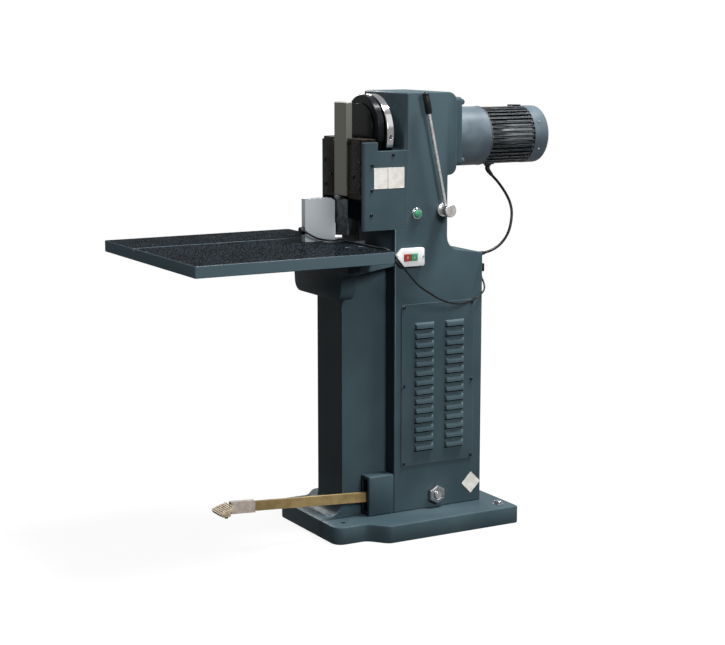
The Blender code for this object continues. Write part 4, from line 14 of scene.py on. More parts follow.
import bmesh
import bpy
import numpy as np
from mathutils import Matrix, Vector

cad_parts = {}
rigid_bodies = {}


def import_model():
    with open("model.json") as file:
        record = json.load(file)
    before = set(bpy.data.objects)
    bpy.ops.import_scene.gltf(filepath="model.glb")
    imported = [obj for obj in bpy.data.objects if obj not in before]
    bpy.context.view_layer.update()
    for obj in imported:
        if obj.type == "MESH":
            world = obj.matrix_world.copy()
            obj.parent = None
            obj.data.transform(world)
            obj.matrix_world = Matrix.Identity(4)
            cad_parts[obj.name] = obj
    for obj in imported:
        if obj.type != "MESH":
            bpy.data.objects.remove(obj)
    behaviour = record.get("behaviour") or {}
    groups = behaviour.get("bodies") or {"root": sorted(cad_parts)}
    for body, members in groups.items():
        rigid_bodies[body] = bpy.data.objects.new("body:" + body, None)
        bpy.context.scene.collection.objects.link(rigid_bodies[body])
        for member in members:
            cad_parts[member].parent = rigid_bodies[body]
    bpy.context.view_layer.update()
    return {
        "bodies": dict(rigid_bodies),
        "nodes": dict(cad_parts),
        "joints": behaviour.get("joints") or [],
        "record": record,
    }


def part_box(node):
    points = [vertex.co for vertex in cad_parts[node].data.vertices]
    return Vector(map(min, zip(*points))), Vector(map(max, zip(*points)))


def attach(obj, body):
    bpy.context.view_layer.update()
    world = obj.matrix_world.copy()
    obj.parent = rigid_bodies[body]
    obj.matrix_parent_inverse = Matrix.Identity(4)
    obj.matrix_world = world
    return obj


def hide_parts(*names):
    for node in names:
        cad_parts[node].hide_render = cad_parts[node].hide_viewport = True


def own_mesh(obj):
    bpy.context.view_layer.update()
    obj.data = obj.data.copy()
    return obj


LOG = logging.getLogger("corner_notcher")
MILLIMETRE = 0.001
# Edges that turn by more than this many degrees stay sharp.
SHARP_ANGLE = 34.0

Pair = tuple[float, float]
Vector3 = tuple[float, float, float]
Rows = tuple[Vector3, Vector3, Vector3]
Tree = bpy.types.NodeTree
Socket = bpy.types.NodeSocket


class Facing(Enum):
    """The way that a piece faces, as the rows of its own frame: across, up and outwards."""

    RIGHT = ((0, 1, 0), (0, 0, 1), (1, 0, 0))
    LEFT = ((0, 0, 1), (0, 1, 0), (-1, 0, 0))
    BACK = ((0, 0, 1), (1, 0, 0), (0, 1, 0))
    FRONT = ((1, 0, 0), (0, 0, 1), (0, -1, 0))
    UP = ((1, 0, 0), (0, 1, 0), (0, 0, 1))
    DOWN = ((1, 0, 0), (0, -1, 0), (0, 0, -1))


def linear(colour: str) -> tuple[float, float, float, float]:
    """Turn an sRGB hex colour to linear light, by the curve that sRGB is defined with.

    Args:
        colour: Six hex digits after a hash sign.

    Returns:
        Red, green, blue and an alpha of 1.
    """
    parts = [int(colour[i : i + 2], 16) / 255 for i in (1, 3, 5)]
    red, green, blue = (p / 12.92 if p <= 0.04045 else ((p + 0.055) / 1.055) ** 2.4 for p in parts)
    return (red, green, blue, 1.0)


def add_node(tree: Tree, kind: str, settings: dict | None = None,
             inputs: dict | None = None, ramp: tuple = ()) -> bpy.types.Node:
    """Add one shader node with its settings and links.

    Args:
        tree: The material's or world's node tree.
        kind: The node's type name.
        settings: Values of the node's own properties.
        inputs: For each socket a value, or the output socket that feeds it.
        ramp: Places and colours of a colour ramp, from left to right.

    Returns:
        The new node.
    """
    node = tree.nodes.new(kind)
    for name, value in (settings or {}).items():
        setattr(node, name, value)
    for key, value in (inputs or {}).items():
        if isinstance(value, Socket):
            tree.links.new(value, node.inputs[key])
        else:
            node.inputs[key].default_value = value
    if ramp:
        elements = node.color_ramp.elements
        while len(elements) < len(ramp):
            elements.new(1.0)
        for element, (place, colour) in zip(elements, ramp):
            element.position = place
            element.color = colour
    return node


def new_object(name: str, data: bpy.types.ID) -> bpy.types.Object:
    """Make an object of a mesh, curve, light or camera at the origin, and link it.

    Args:
        name: The object's name.
        data: What it shows.

    Returns:
        The linked object.
    """
    obj = bpy.data.objects.new(name, data)
    bpy.context.scene.collection.objects.link(obj)
    return obj


# ---------------------------------------------------------------- finishes

# The Mix node's sockets when it mixes colours: factor, both colours and the result.
MIX_FACTOR, MIX_A, MIX_B, MIX_RESULT = 0, 6, 7, 2
# A finish that is more metallic than this keeps the shader's own IOR.
METAL_FROM = 0.5
COAT_ROUGHNESS = 0.12
# Most of a noise texture lies between these values.
NOISE_SPAN = (0.3, 0.7)
# The rise of the normal at which the side colour starts, and at which it is full; above it a top
# keeps its colour, painted darker as shade.
SIDE_SPAN = (0.85, 0.55)
# Edges painted paler, partly wear and partly painted highlight: their width, the cosine between
# the face and its rounded normal at which the paler colour starts and at which it is full, and
# its full share.
EDGE_WEAR_AND_HIGHLIGHT_MM = 1.6
EDGE_WEAR_AND_HIGHLIGHT_SPAN = (0.975, 0.90)
EDGE_WEAR_AND_HIGHLIGHT_SHARE = 0.6
# A speck has its full colour within this share of its reach.
SPECK_CORE = 0.4


def scaled(tree: Tree, place: Socket, size_mm: float | Vector3) -> Socket:
    """Scale Object coordinates so that one unit is size_mm.

    Args:
        tree: The material's node tree.
        place: The Object coordinates.
        size_mm: The pattern's size in millimetres, or its sizes along X, Y and Z.

    Returns:
        The scaled coordinates.
    """
    sizes = size_mm if isinstance(size_mm, tuple) else (size_mm,) * 3
    scale = tuple(1 / (size * MILLIMETRE) for size in sizes)
    node = add_node(tree, "ShaderNodeMapping", {}, {"Vector": place, "Scale": scale})
    return node.outputs["Vector"]


def lay_over(tree: Tree, ground: Socket, colour: str, measure: Socket, span: Pair,
             most: float = 1.0) -> Socket:
    """Lay a colour over the ground, more of it as a measure runs through a span.

    Args:
        tree: The material's node tree.
        ground: The colour so far.
        colour: The sRGB hex colour that goes over it.
        measure: The value that the colour's share follows.
        span: The measure where the share is none, and where it is full.
        most: The full share.

    Returns:
        The mixed colour.
    """
    share = add_node(tree, "ShaderNodeMapRange", {}, {
        "Value": measure, "From Min": span[0], "From Max": span[1], "To Max": most})
    mixed = add_node(tree, "ShaderNodeMix", {"data_type": "RGBA"}, {
        MIX_FACTOR: share.outputs["Result"], MIX_A: ground, MIX_B: linear(colour)})
    return mixed.outputs[MIX_RESULT]


@dataclass(frozen=True)
class Finish:
    """A surface with slow colour drift, fine relief and roughness that follows the relief.

    patch_mm is the width of the colour drift, grain_mm the size of the relief, or its sizes
    along X, Y and Z, and relief_mm its height. shade is the second colour, which drift brings in,
    worn_and_highlight the paler colour along edges, partly wear and partly painted highlight, and
    side the colour of faces that don't look up, which leaves the top in its painted dark shade.
    """

    name: str
    colour: str
    shade: str
    roughness: Pair
    metallic: float = 0.0
    ior: float = 1.45
    sheen_level: float = 0.25
    coat: float = 0.0
    patch_mm: float = 90.0
    drift: Pair = (0.40, 0.62)
    grain_mm: float | Vector3 = 4.0
    relief_mm: float = 0.02
    detail: float = 3.0
    worn_and_highlight: str = ""
    side: str = ""

    def material(self) -> bpy.types.Material:
        """Build the material: shader, colour, roughness and bump.

        Returns:
            The material.
        """
        made = bpy.data.materials.new(self.name)
        made.use_nodes = True
        tree = made.node_tree
        shader = tree.nodes["Principled BSDF"]
        shader.inputs["Metallic"].default_value = self.metallic
        if self.metallic < METAL_FROM:
            shader.inputs["IOR"].default_value = self.ior
            shader.inputs["Specular IOR Level"].default_value = self.sheen_level
        if self.coat:
            shader.inputs["Coat Weight"].default_value = self.coat
            shader.inputs["Coat Roughness"].default_value = COAT_ROUGHNESS
        place = add_node(tree, "ShaderNodeTexCoord").outputs["Object"]
        ground = self.sides(tree, self.tint(tree, place))
        tree.links.new(self.edge_wear_and_highlight(tree, ground), shader.inputs["Base Color"])
        height = self.relief(tree, place)
        self.shine(tree, shader, height)
        self.bump(tree, shader, height)
        return made
    def tint(self, tree: Tree, place: Socket) -> Socket:
        """Mix the two colours by slow noise one patch wide.

        Args:
            tree: The material's node tree.
            place: The Object coordinates.

        Returns:
            The ground colour.
        """
        noise = add_node(tree, "ShaderNodeTexNoise", {}, {
            "Vector": scaled(tree, place, self.patch_mm), "Scale": 1.0, "Detail": 4.0})
        low, high = self.drift
        ramp = ((low, linear(self.colour)), (high, linear(self.shade)))
        mixed = add_node(tree, "ShaderNodeValToRGB", {}, {"Fac": noise.outputs["Fac"]}, ramp)
        return mixed.outputs["Color"]

    def sides(self, tree: Tree, ground: Socket) -> Socket:
        """Give the side colour to faces whose normal rises by less than about 0.7, so that a top
        keeps a colour painted darker as painted shade.

        Args:
            tree: The material's node tree.
            ground: The colour so far.

        Returns:
            The colour with its sides.
        """
        if not self.side:
            return ground
        normal = add_node(tree, "ShaderNodeNewGeometry").outputs["Normal"]
        parts = add_node(tree, "ShaderNodeSeparateXYZ", {}, {"Vector": normal})
        return lay_over(tree, ground, self.side, parts.outputs["Z"], SIDE_SPAN)

    def edge_wear_and_highlight(self, tree: Tree, ground: Socket) -> Socket:
        """Lay the paler edge colour near an edge, where the rounded normal leaves the face's own:
        partly wear, partly a painted highlight.

        Args:
            tree: The material's node tree.
            ground: The colour so far.

        Returns:
            The colour with its worn edges.
        """
        if not self.worn_and_highlight:
            return ground
        face = add_node(tree, "ShaderNodeNewGeometry").outputs["True Normal"]
        rounded = add_node(tree, "ShaderNodeBevel", {"samples": 4},
                           {"Radius": EDGE_WEAR_AND_HIGHLIGHT_MM * MILLIMETRE})
        turned = add_node(tree, "ShaderNodeVectorMath", {"operation": "DOT_PRODUCT"},
                          {0: face, 1: rounded.outputs["Normal"]})
        return lay_over(tree, ground, self.worn_and_highlight, turned.outputs["Value"], EDGE_WEAR_AND_HIGHLIGHT_SPAN, EDGE_WEAR_AND_HIGHLIGHT_SHARE)

    def relief(self, tree: Tree, place: Socket) -> Socket:
        """Make the fine relief's height, 0 to 1, from noise stretched to the grain's size."""
        noise = add_node(tree, "ShaderNodeTexNoise", {}, {
            "Vector": scaled(tree, place, self.grain_mm), "Scale": 1.0, "Detail": self.detail})
        return noise.outputs["Fac"]

    def shine(self, tree: Tree, shader: bpy.types.Node, height: Socket) -> None:
        """Let the roughness go from its low to its high value as the relief rises."""
        spread = add_node(tree, "ShaderNodeMapRange", {}, {
            "Value": height, "From Min": NOISE_SPAN[0], "From Max": NOISE_SPAN[1],
            "To Min": self.roughness[0], "To Max": self.roughness[1]})
        tree.links.new(spread.outputs["Result"], shader.inputs["Roughness"])

    def bump(self, tree: Tree, shader: bpy.types.Node, height: Socket) -> None:
        """Turn the relief into a bump of relief_mm."""
        node = add_node(tree, "ShaderNodeBump", {}, {
            "Height": height, "Distance": self.relief_mm * MILLIMETRE})
        tree.links.new(node.outputs["Normal"], shader.inputs["Normal"])


@dataclass(frozen=True)
class SpeckledFinish(Finish):
    """A finish with round grains in its colour, such as wrinkle enamel or dust in paint.

    speck is the grains' colour, speck_mm their spacing and speck_share their reach, as a
    share of that spacing.
    """

    speck: str = "#808080"
    speck_mm: float = 5.0
    speck_share: float = 0.3

    def tint(self, tree: Tree, place: Socket) -> Socket:
        """Lay grains over the drifting colour, where the nearest cell's middle is close.

        Args:
            tree: The material's node tree.
            place: The Object coordinates.

        Returns:
            The speckled colour.
        """
        cells = add_node(tree, "ShaderNodeTexVoronoi", {}, {
            "Vector": scaled(tree, place, self.speck_mm), "Scale": 1.0})
        span = (self.speck_share, self.speck_share * SPECK_CORE)
        ground = super().tint(tree, place)
        return lay_over(tree, ground, self.speck, cells.outputs["Distance"], span)


class Finishes(Enum):
    """Every finish on the press, named for its real material and how it was made; a name also says
    where shade is painted in.
    """

    # Machine enamel sprayed over filled cast iron: smooth, slow colour drift, slight orange peel,
    # edges painted paler, partly wear and partly painted highlight.
    SLATE_ENAMEL = Finish(
        "slate_enamel_on_cast_iron", "#3f4f55", "#36454c", (0.34, 0.50), sheen_level=0.08,
        patch_mm=260.0, relief_mm=0.05, worn_and_highlight="#7d8c95")
    # The same enamel on the planed table, glossy. Its top is painted near black as a painted
    # reflection of a dark room, its sides keep the lighter slate, and its grains are painted pale
    # as glints of the light they catch.
    # Real grains lie about 1 mm apart. They are drawn 6 mm apart so that they show.
    TABLE_ENAMEL = SpeckledFinish(
        "slate_enamel_with_painted_dark_top", "#0a0c0e", "#111417", (0.22, 0.40), sheen_level=0.0,
        coat=0.05, side="#4a5a61", patch_mm=70.0, grain_mm=2.5, relief_mm=0.06, worn_and_highlight="#8d9aa2",
        speck="#353e44", speck_mm=6.0, speck_share=0.40)
    # Black gloss enamel on the connecting rod and the eccentric: deep, with sharp highlights.
    BLACK_ENAMEL = Finish(
        "black_gloss_enamel", "#0a0c0e", "#13161a", (0.14, 0.28), sheen_level=0.16, patch_mm=30.0,
        relief_mm=0.04)
    # The same enamel on rough cast iron, oily and dusty, with bare rust-brown spots.
    ROUGH_BLACK = SpeckledFinish(
        "oily_black_enamel_on_rough_casting", "#100f0c", "#1f1912", (0.24, 0.50), sheen_level=0.10,
        patch_mm=12.0, grain_mm=3.5, relief_mm=0.35, speck="#5a5146", speck_mm=6.0,
        speck_share=0.34)
    # Painted shade in the louvre slots: near black and matt, standing for the shadow under each
    # hood.
    SLOT_SHADE = Finish(
        "painted_shade_under_louvres", "#06080a", "#0d1012", (0.60, 0.80), sheen_level=0.05,
        patch_mm=12.0, grain_mm=2.0, relief_mm=0.02)
    # Polished and lightly oiled steel: bright, low roughness, faint haze.
    POLISHED_STEEL = Finish(
        "polished_steel", "#c9c8c4", "#b3b2ae", (0.12, 0.26), metallic=1.0, patch_mm=18.0,
        grain_mm=1.5, relief_mm=0.004)
    # Chrome plate on turned steel, handled and hazy.
    CHROME_PLATE = Finish(
        "hazy_chrome_plate", "#eceae6", "#cfcdc9", (0.22, 0.42), metallic=1.0, patch_mm=9.0,
        grain_mm=(1.5, 1.5, 7.0), relief_mm=0.02)
    # Milled and brushed flat steel: warm grey with vertical grain, drawn 0.7 mm wide to show.
    BRUSHED_STEEL = Finish(
        "brushed_steel", "#cbc7bb", "#b0aca0", (0.46, 0.62), metallic=1.0, patch_mm=26.0,
        grain_mm=(0.7, 0.7, 22.0), relief_mm=0.02)
    # Hardened and ground tool steel: darker and bluish, cross grain drawn 0.6 mm wide to show.
    TOOL_STEEL = Finish(
        "ground_tool_steel", "#6b7073", "#53585b", (0.20, 0.36), metallic=1.0, patch_mm=14.0,
        grain_mm=(9.0, 0.6, 0.6), relief_mm=0.01)
    # Sintered bronze: matt, pitted, yellow brown.
    BEARING_BRONZE = Finish(
        "sintered_bronze", "#9a7440", "#7d5b2e", (0.40, 0.56), metallic=1.0, patch_mm=8.0,
        grain_mm=0.8, relief_mm=0.02)
    # Die-cast aluminium under grey paint: fine sand texture.
    PAINTED_ALUMINIUM = Finish(
        "grey_paint_on_die_cast_aluminium", "#58656d", "#4d5860", (0.32, 0.46), patch_mm=60.0,
        grain_mm=1.6, relief_mm=0.03)
    # Dark enamel on the finned motor frame: satin, the fins' edges painted pale, partly rubbing and
    # partly painted highlight on the crests.
    FIN_ENAMEL = Finish(
        "dark_enamel_on_motor_fins", "#171b1e", "#101315", (0.20, 0.34), patch_mm=40.0,
        grain_mm=(5.0, 60.0, 5.0), relief_mm=0.12, worn_and_highlight="#c4ccd1")
    # Zinc-coated sheet: pale grey with soft mottled spangle about 11 mm across.
    GALVANISED_SHEET = SpeckledFinish(
        "galvanised_sheet", "#f2f4f6", "#e2e6e9", (0.42, 0.60), metallic=0.1, patch_mm=16.0,
        drift=(0.35, 0.65), grain_mm=2.0, relief_mm=0.01, speck="#fbfcfd", speck_mm=11.0,
        speck_share=0.5)
    # Moulded black ABS: fine leather grain, satin.
    BLACK_PLASTIC = Finish(
        "moulded_black_plastic", "#101113", "#18191b", (0.34, 0.48), patch_mm=12.0, grain_mm=0.9,
        relief_mm=0.02)
    # Extruded black PVC on the cords: smooth and slightly glossy.
    CORD_SHEATH = Finish(
        "extruded_black_pvc", "#0b0c0d", "#131416", (0.28, 0.40), patch_mm=20.0, grain_mm=1.0,
        relief_mm=0.01)
    # Moulded white ABS of the switch box: satin and smooth. The buttons are the same, dyed.
    WHITE_PLASTIC = Finish(
        "moulded_white_plastic", "#dcdedc", "#d2d5d4", (0.30, 0.42), patch_mm=30.0, grain_mm=1.0,
        relief_mm=0.01)
    RED_PLASTIC = Finish(
        "moulded_red_plastic", "#9c3a33", "#8c322c", (0.28, 0.40), patch_mm=10.0, grain_mm=0.8,
        relief_mm=0.01)
    GREEN_PLASTIC = Finish(
        "moulded_green_plastic", "#3f8f6c", "#357f5f", (0.28, 0.40), patch_mm=10.0, grain_mm=0.8,
        relief_mm=0.01)
    # Brush-painted flat bar of the pedal: mustard, rubbed and dusty.
    MUSTARD_ENAMEL = Finish(
        "mustard_enamel_on_flat_bar", "#948058", "#7f6c45", (0.40, 0.58), patch_mm=45.0,
        grain_mm=(4.0, 26.0, 1.4), relief_mm=0.05)
    # Sleeve of the same bar, its paint rubbed to pinkish grey primer.
    PRIMER = Finish(
        "rubbed_grey_primer", "#c0b4ab", "#aba097", (0.44, 0.60), patch_mm=14.0,
        grain_mm=(3.0, 9.0, 3.0), relief_mm=0.05)
    # Worn cast pedal plate: taupe and rough, with pale rubbed spots about 4 mm apart.
    PEDAL_PLATE = SpeckledFinish(
        "worn_cast_pedal_plate", "#c6b69b", "#a8987e", (0.45, 0.62), patch_mm=10.0, grain_mm=2.0,
        relief_mm=0.15, speck="#d2c6b0", speck_mm=4.0, speck_share=0.35)
    # Adhesive foil labels without print: white, slightly glossy, yellowed in patches.
    BLANK_FOIL = Finish(
        "blank_white_foil", "#dddcd6", "#cfcdc5", (0.24, 0.38), patch_mm=18.0, grain_mm=1.2,
        relief_mm=0.01)
    # Zinc-plated screws and bolts: bright, bluish, with blotches of dull zinc.
    ZINC_PLATE = Finish(
        "zinc_plated_steel", "#b9bcbf", "#8d9195", (0.22, 0.44), metallic=1.0, patch_mm=3.0,
        grain_mm=0.8, relief_mm=0.01)
    # Blackened high-strength screws: oily dark steel.
    BLACK_OXIDE = Finish(
        "black_oxide_steel", "#34373a", "#26292b", (0.24, 0.40), metallic=1.0, patch_mm=3.0,
        grain_mm=0.8, relief_mm=0.01)

    def material(self) -> bpy.types.Material:
        """Return this finish's one material, built the first time it is asked for."""
        return bpy.data.materials.get(self.value.name) or self.value.material()


# ---------------------------------------------------------------- shapes

# Points round each corner of a rounded rectangle, and the least share of its
# radius that is left when an inset eats into it.
CORNER_STEPS = 8
LEAST_CORNER = 0.3


def skin(name: str, rings: np.ndarray, sharp_angle: float = SHARP_ANGLE) -> bpy.types.Object:
    """Join closed rings of points into one closed skin, or into several of them.

    Point j of ring i is joined to point j + 1 of the same ring and to point j of ring
    i + 1, and a fan from each end's middle closes it. Rings run so that the faces point
    outwards when a ring turns left about the way from first to last ring.

    Args:
        name: The new object's name.
        rings: Array of shape (rings, points, 3), or (bodies, rings, points, 3).
        sharp_angle: Edges sharper than this angle in degrees stay sharp.

    Returns:
        The linked object.
    """
    bodies = rings[None] if rings.ndim == 3 else rings
    total, count, around, _ = bodies.shape
    row, col = np.meshgrid(np.arange(count - 1), np.arange(around), indexing="ij")
    following = (col + 1) % around
    quads = np.stack([row * around + col, row * around + following,
                      (row + 1) * around + following, (row + 1) * around + col], axis=-1)
    quads = quads.reshape(-1, 4)
    step = np.arange(around)
    nxt = (step + 1) % around
    low, top = count * around, (count - 1) * around
    fans = np.vstack([np.stack([np.full(around, low), nxt, step], axis=-1),
                      np.stack([np.full(around, low + 1), top + step, top + nxt], axis=-1)])
    start = (np.arange(total) * (count * around + 2))[:, None, None]
    vertices = np.concatenate([bodies.reshape(total, -1, 3), bodies[:, 0].mean(1)[:, None],
                               bodies[:, -1].mean(1)[:, None]], axis=1).reshape(-1, 3)
    faces = (quads + start).reshape(-1, 4).tolist() + (fans + start).reshape(-1, 3).tolist()
    mesh = bpy.data.meshes.new(name)
    mesh.from_pydata(vertices.astype(float).tolist(), [], faces)
    mesh.validate()
    mesh.shade_smooth()
    mesh.set_sharp_from_angle(angle=math.radians(sharp_angle))
    return new_object(name, mesh)


def settle(obj: bpy.types.Object, finish: "Finishes", body: str) -> bpy.types.Object:
    """Give a piece its finish and body.

    Args:
        obj: The piece.
        finish: Its finish.
        body: The CAD body that it moves with.

    Returns:
        The same piece.
    """
    obj.data.materials.append(finish.material())
    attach(obj, body)
    return obj


def turned_rings(axis: Rows, centre: Vector3, profile: list[Pair],
                 steps: int = 48, sides: int = 0) -> np.ndarray:
    """Turn a profile about an axis through a point.

    A point is centre + along * axis + radius * (cos t, sin t) across it. With sides, the
    radius is the flat's distance over cos of the angle from that flat's middle, which
    gives a prism with that many sides.

    Args:
        axis: Three unit rows: across, up and along the axis of turning.
        centre: A point on the axis that the profile's places are measured from.
        profile: Pairs of radius and place along the axis, in rising place.
        steps: Points round each ring.
        sides: Number of flats, or 0 for a round.

    Returns:
        Array of shape (pairs, steps, 3).
    """
    across, up, along = (np.array(row, float) for row in axis)
    angle = np.linspace(0, 2 * math.pi, steps, endpoint=False)
    stretch = np.ones(steps)
    if sides:
        flat = 2 * math.pi / sides
        stretch = 1 / np.cos((angle + flat / 2) % flat - flat / 2)
    radius = np.array([r for r, _ in profile])[:, None] * stretch[None, :]
    place = np.array([p for _, p in profile])[:, None, None]
    circle = radius[..., None] * (np.cos(angle)[:, None] * across + np.sin(angle)[:, None] * up)
    return np.array(centre, float) + circle + place * along


def panel_rings(axis: Rows, centre: Vector3, half: Pair, corner: float,
                steps: tuple[Pair, ...], turn: float = 0.0) -> np.ndarray:
    """Stack rounded rectangles over a face, each drawn in by its own inset.

    A ring's point at angle t is the middle of the nearest corner's arc, at (sign(cos t)
    (half_u - corner), sign(sin t) (half_v - corner)), plus corner * (cos t, sin t).

    Args:
        axis: Three unit rows: across, up and out of the face.
        centre: The middle of the panel on its face.
        half: Half its size across and up.
        corner: The radius of its corners.
        steps: Pairs of inset and height over the face, from the face outwards.
        turn: Angle in radians that the panel is turned by in its face.

    Returns:
        Array of shape (pairs, 4 * CORNER_STEPS, 3).
    """
    across, up, out = (np.array(row, float) for row in axis)
    quarter = np.linspace(0, math.pi / 2, CORNER_STEPS)
    angle = np.concatenate([quarter + k * math.pi / 2 for k in range(4)])
    middle = np.repeat(np.array([[1, 1], [-1, 1], [-1, -1], [1, -1]], float),
                       CORNER_STEPS, axis=0)
    rings = []
    for inset, height in steps:
        radius = max(corner - inset, corner * LEAST_CORNER)
        flat = middle * (np.array(half) - inset - radius)
        flat = flat + radius * np.stack([np.cos(angle), np.sin(angle)], axis=1)
        u = flat[:, 0] * math.cos(turn) - flat[:, 1] * math.sin(turn)
        v = flat[:, 0] * math.sin(turn) + flat[:, 1] * math.cos(turn)
        rings.append(np.array(centre) + u[:, None] * across + v[:, None] * up + height * out)
    return np.array(rings)


def lengths(line: np.ndarray) -> np.ndarray:
    """Return each point's length along a line from its first point."""
    return np.concatenate([[0.0], np.cumsum(np.linalg.norm(np.diff(line, axis=0), axis=1))])


def read_off(line: np.ndarray, places: np.ndarray) -> np.ndarray:
    """Read points off a line at given lengths from its first point.

    Args:
        line: Array of shape (points, 3).
        places: The lengths.

    Returns:
        Array of shape (lengths, 3).
    """
    reach = lengths(line)
    return np.stack([np.interp(places, reach, line[:, k]) for k in range(3)], axis=1)


def ways(line: np.ndarray) -> np.ndarray:
    """Return the unit direction of a line at each of its points."""
    forward = np.gradient(line, axis=0)
    return forward / np.linalg.norm(forward, axis=1, keepdims=True)


def tube_rings(middle: np.ndarray, across: np.ndarray, radius: np.ndarray,
               around: int) -> np.ndarray:
    """Lay circles about a line: middle + radius * (cos t * across + sin t * way x across).

    Args:
        middle: The line's points, of shape (points, 3).
        across: A direction square to the line's way at each point, of the same shape.
        radius: The circle's radius at each point.
        around: Points round each circle.

    Returns:
        Array of shape (points, around, 3).
    """
    other = np.cross(ways(middle), across)
    turn = np.linspace(0, 2 * math.pi, around, endpoint=False)
    return middle[:, None] + radius[:, None, None] * (
        np.cos(turn)[None, :, None] * across[:, None]
        + np.sin(turn)[None, :, None] * other[:, None])


# ---------------------------------------------------------------- studio


@dataclass(frozen=True)
class Lamp:
    """A square area light; size is the length of its side and power its watts."""

    name: str
    place: Vector3
    size: float
    power: float
    target: Vector3 = (0.0, 0.0, 0.8)

    def build(self) -> None:
        """Add the light and turn it from looking down to looking at its target."""
        data = bpy.data.lights.new(self.name, "AREA")
        data.shape, data.size, data.energy = "SQUARE", self.size, self.power
        obj = new_object(self.name, data)
        obj.location = self.place
        x, y, z = np.array(self.target) - np.array(self.place)
        obj.rotation_euler = (math.atan2(math.hypot(x, y), -z), 0.0,
                              math.atan2(y, x) - math.pi / 2)


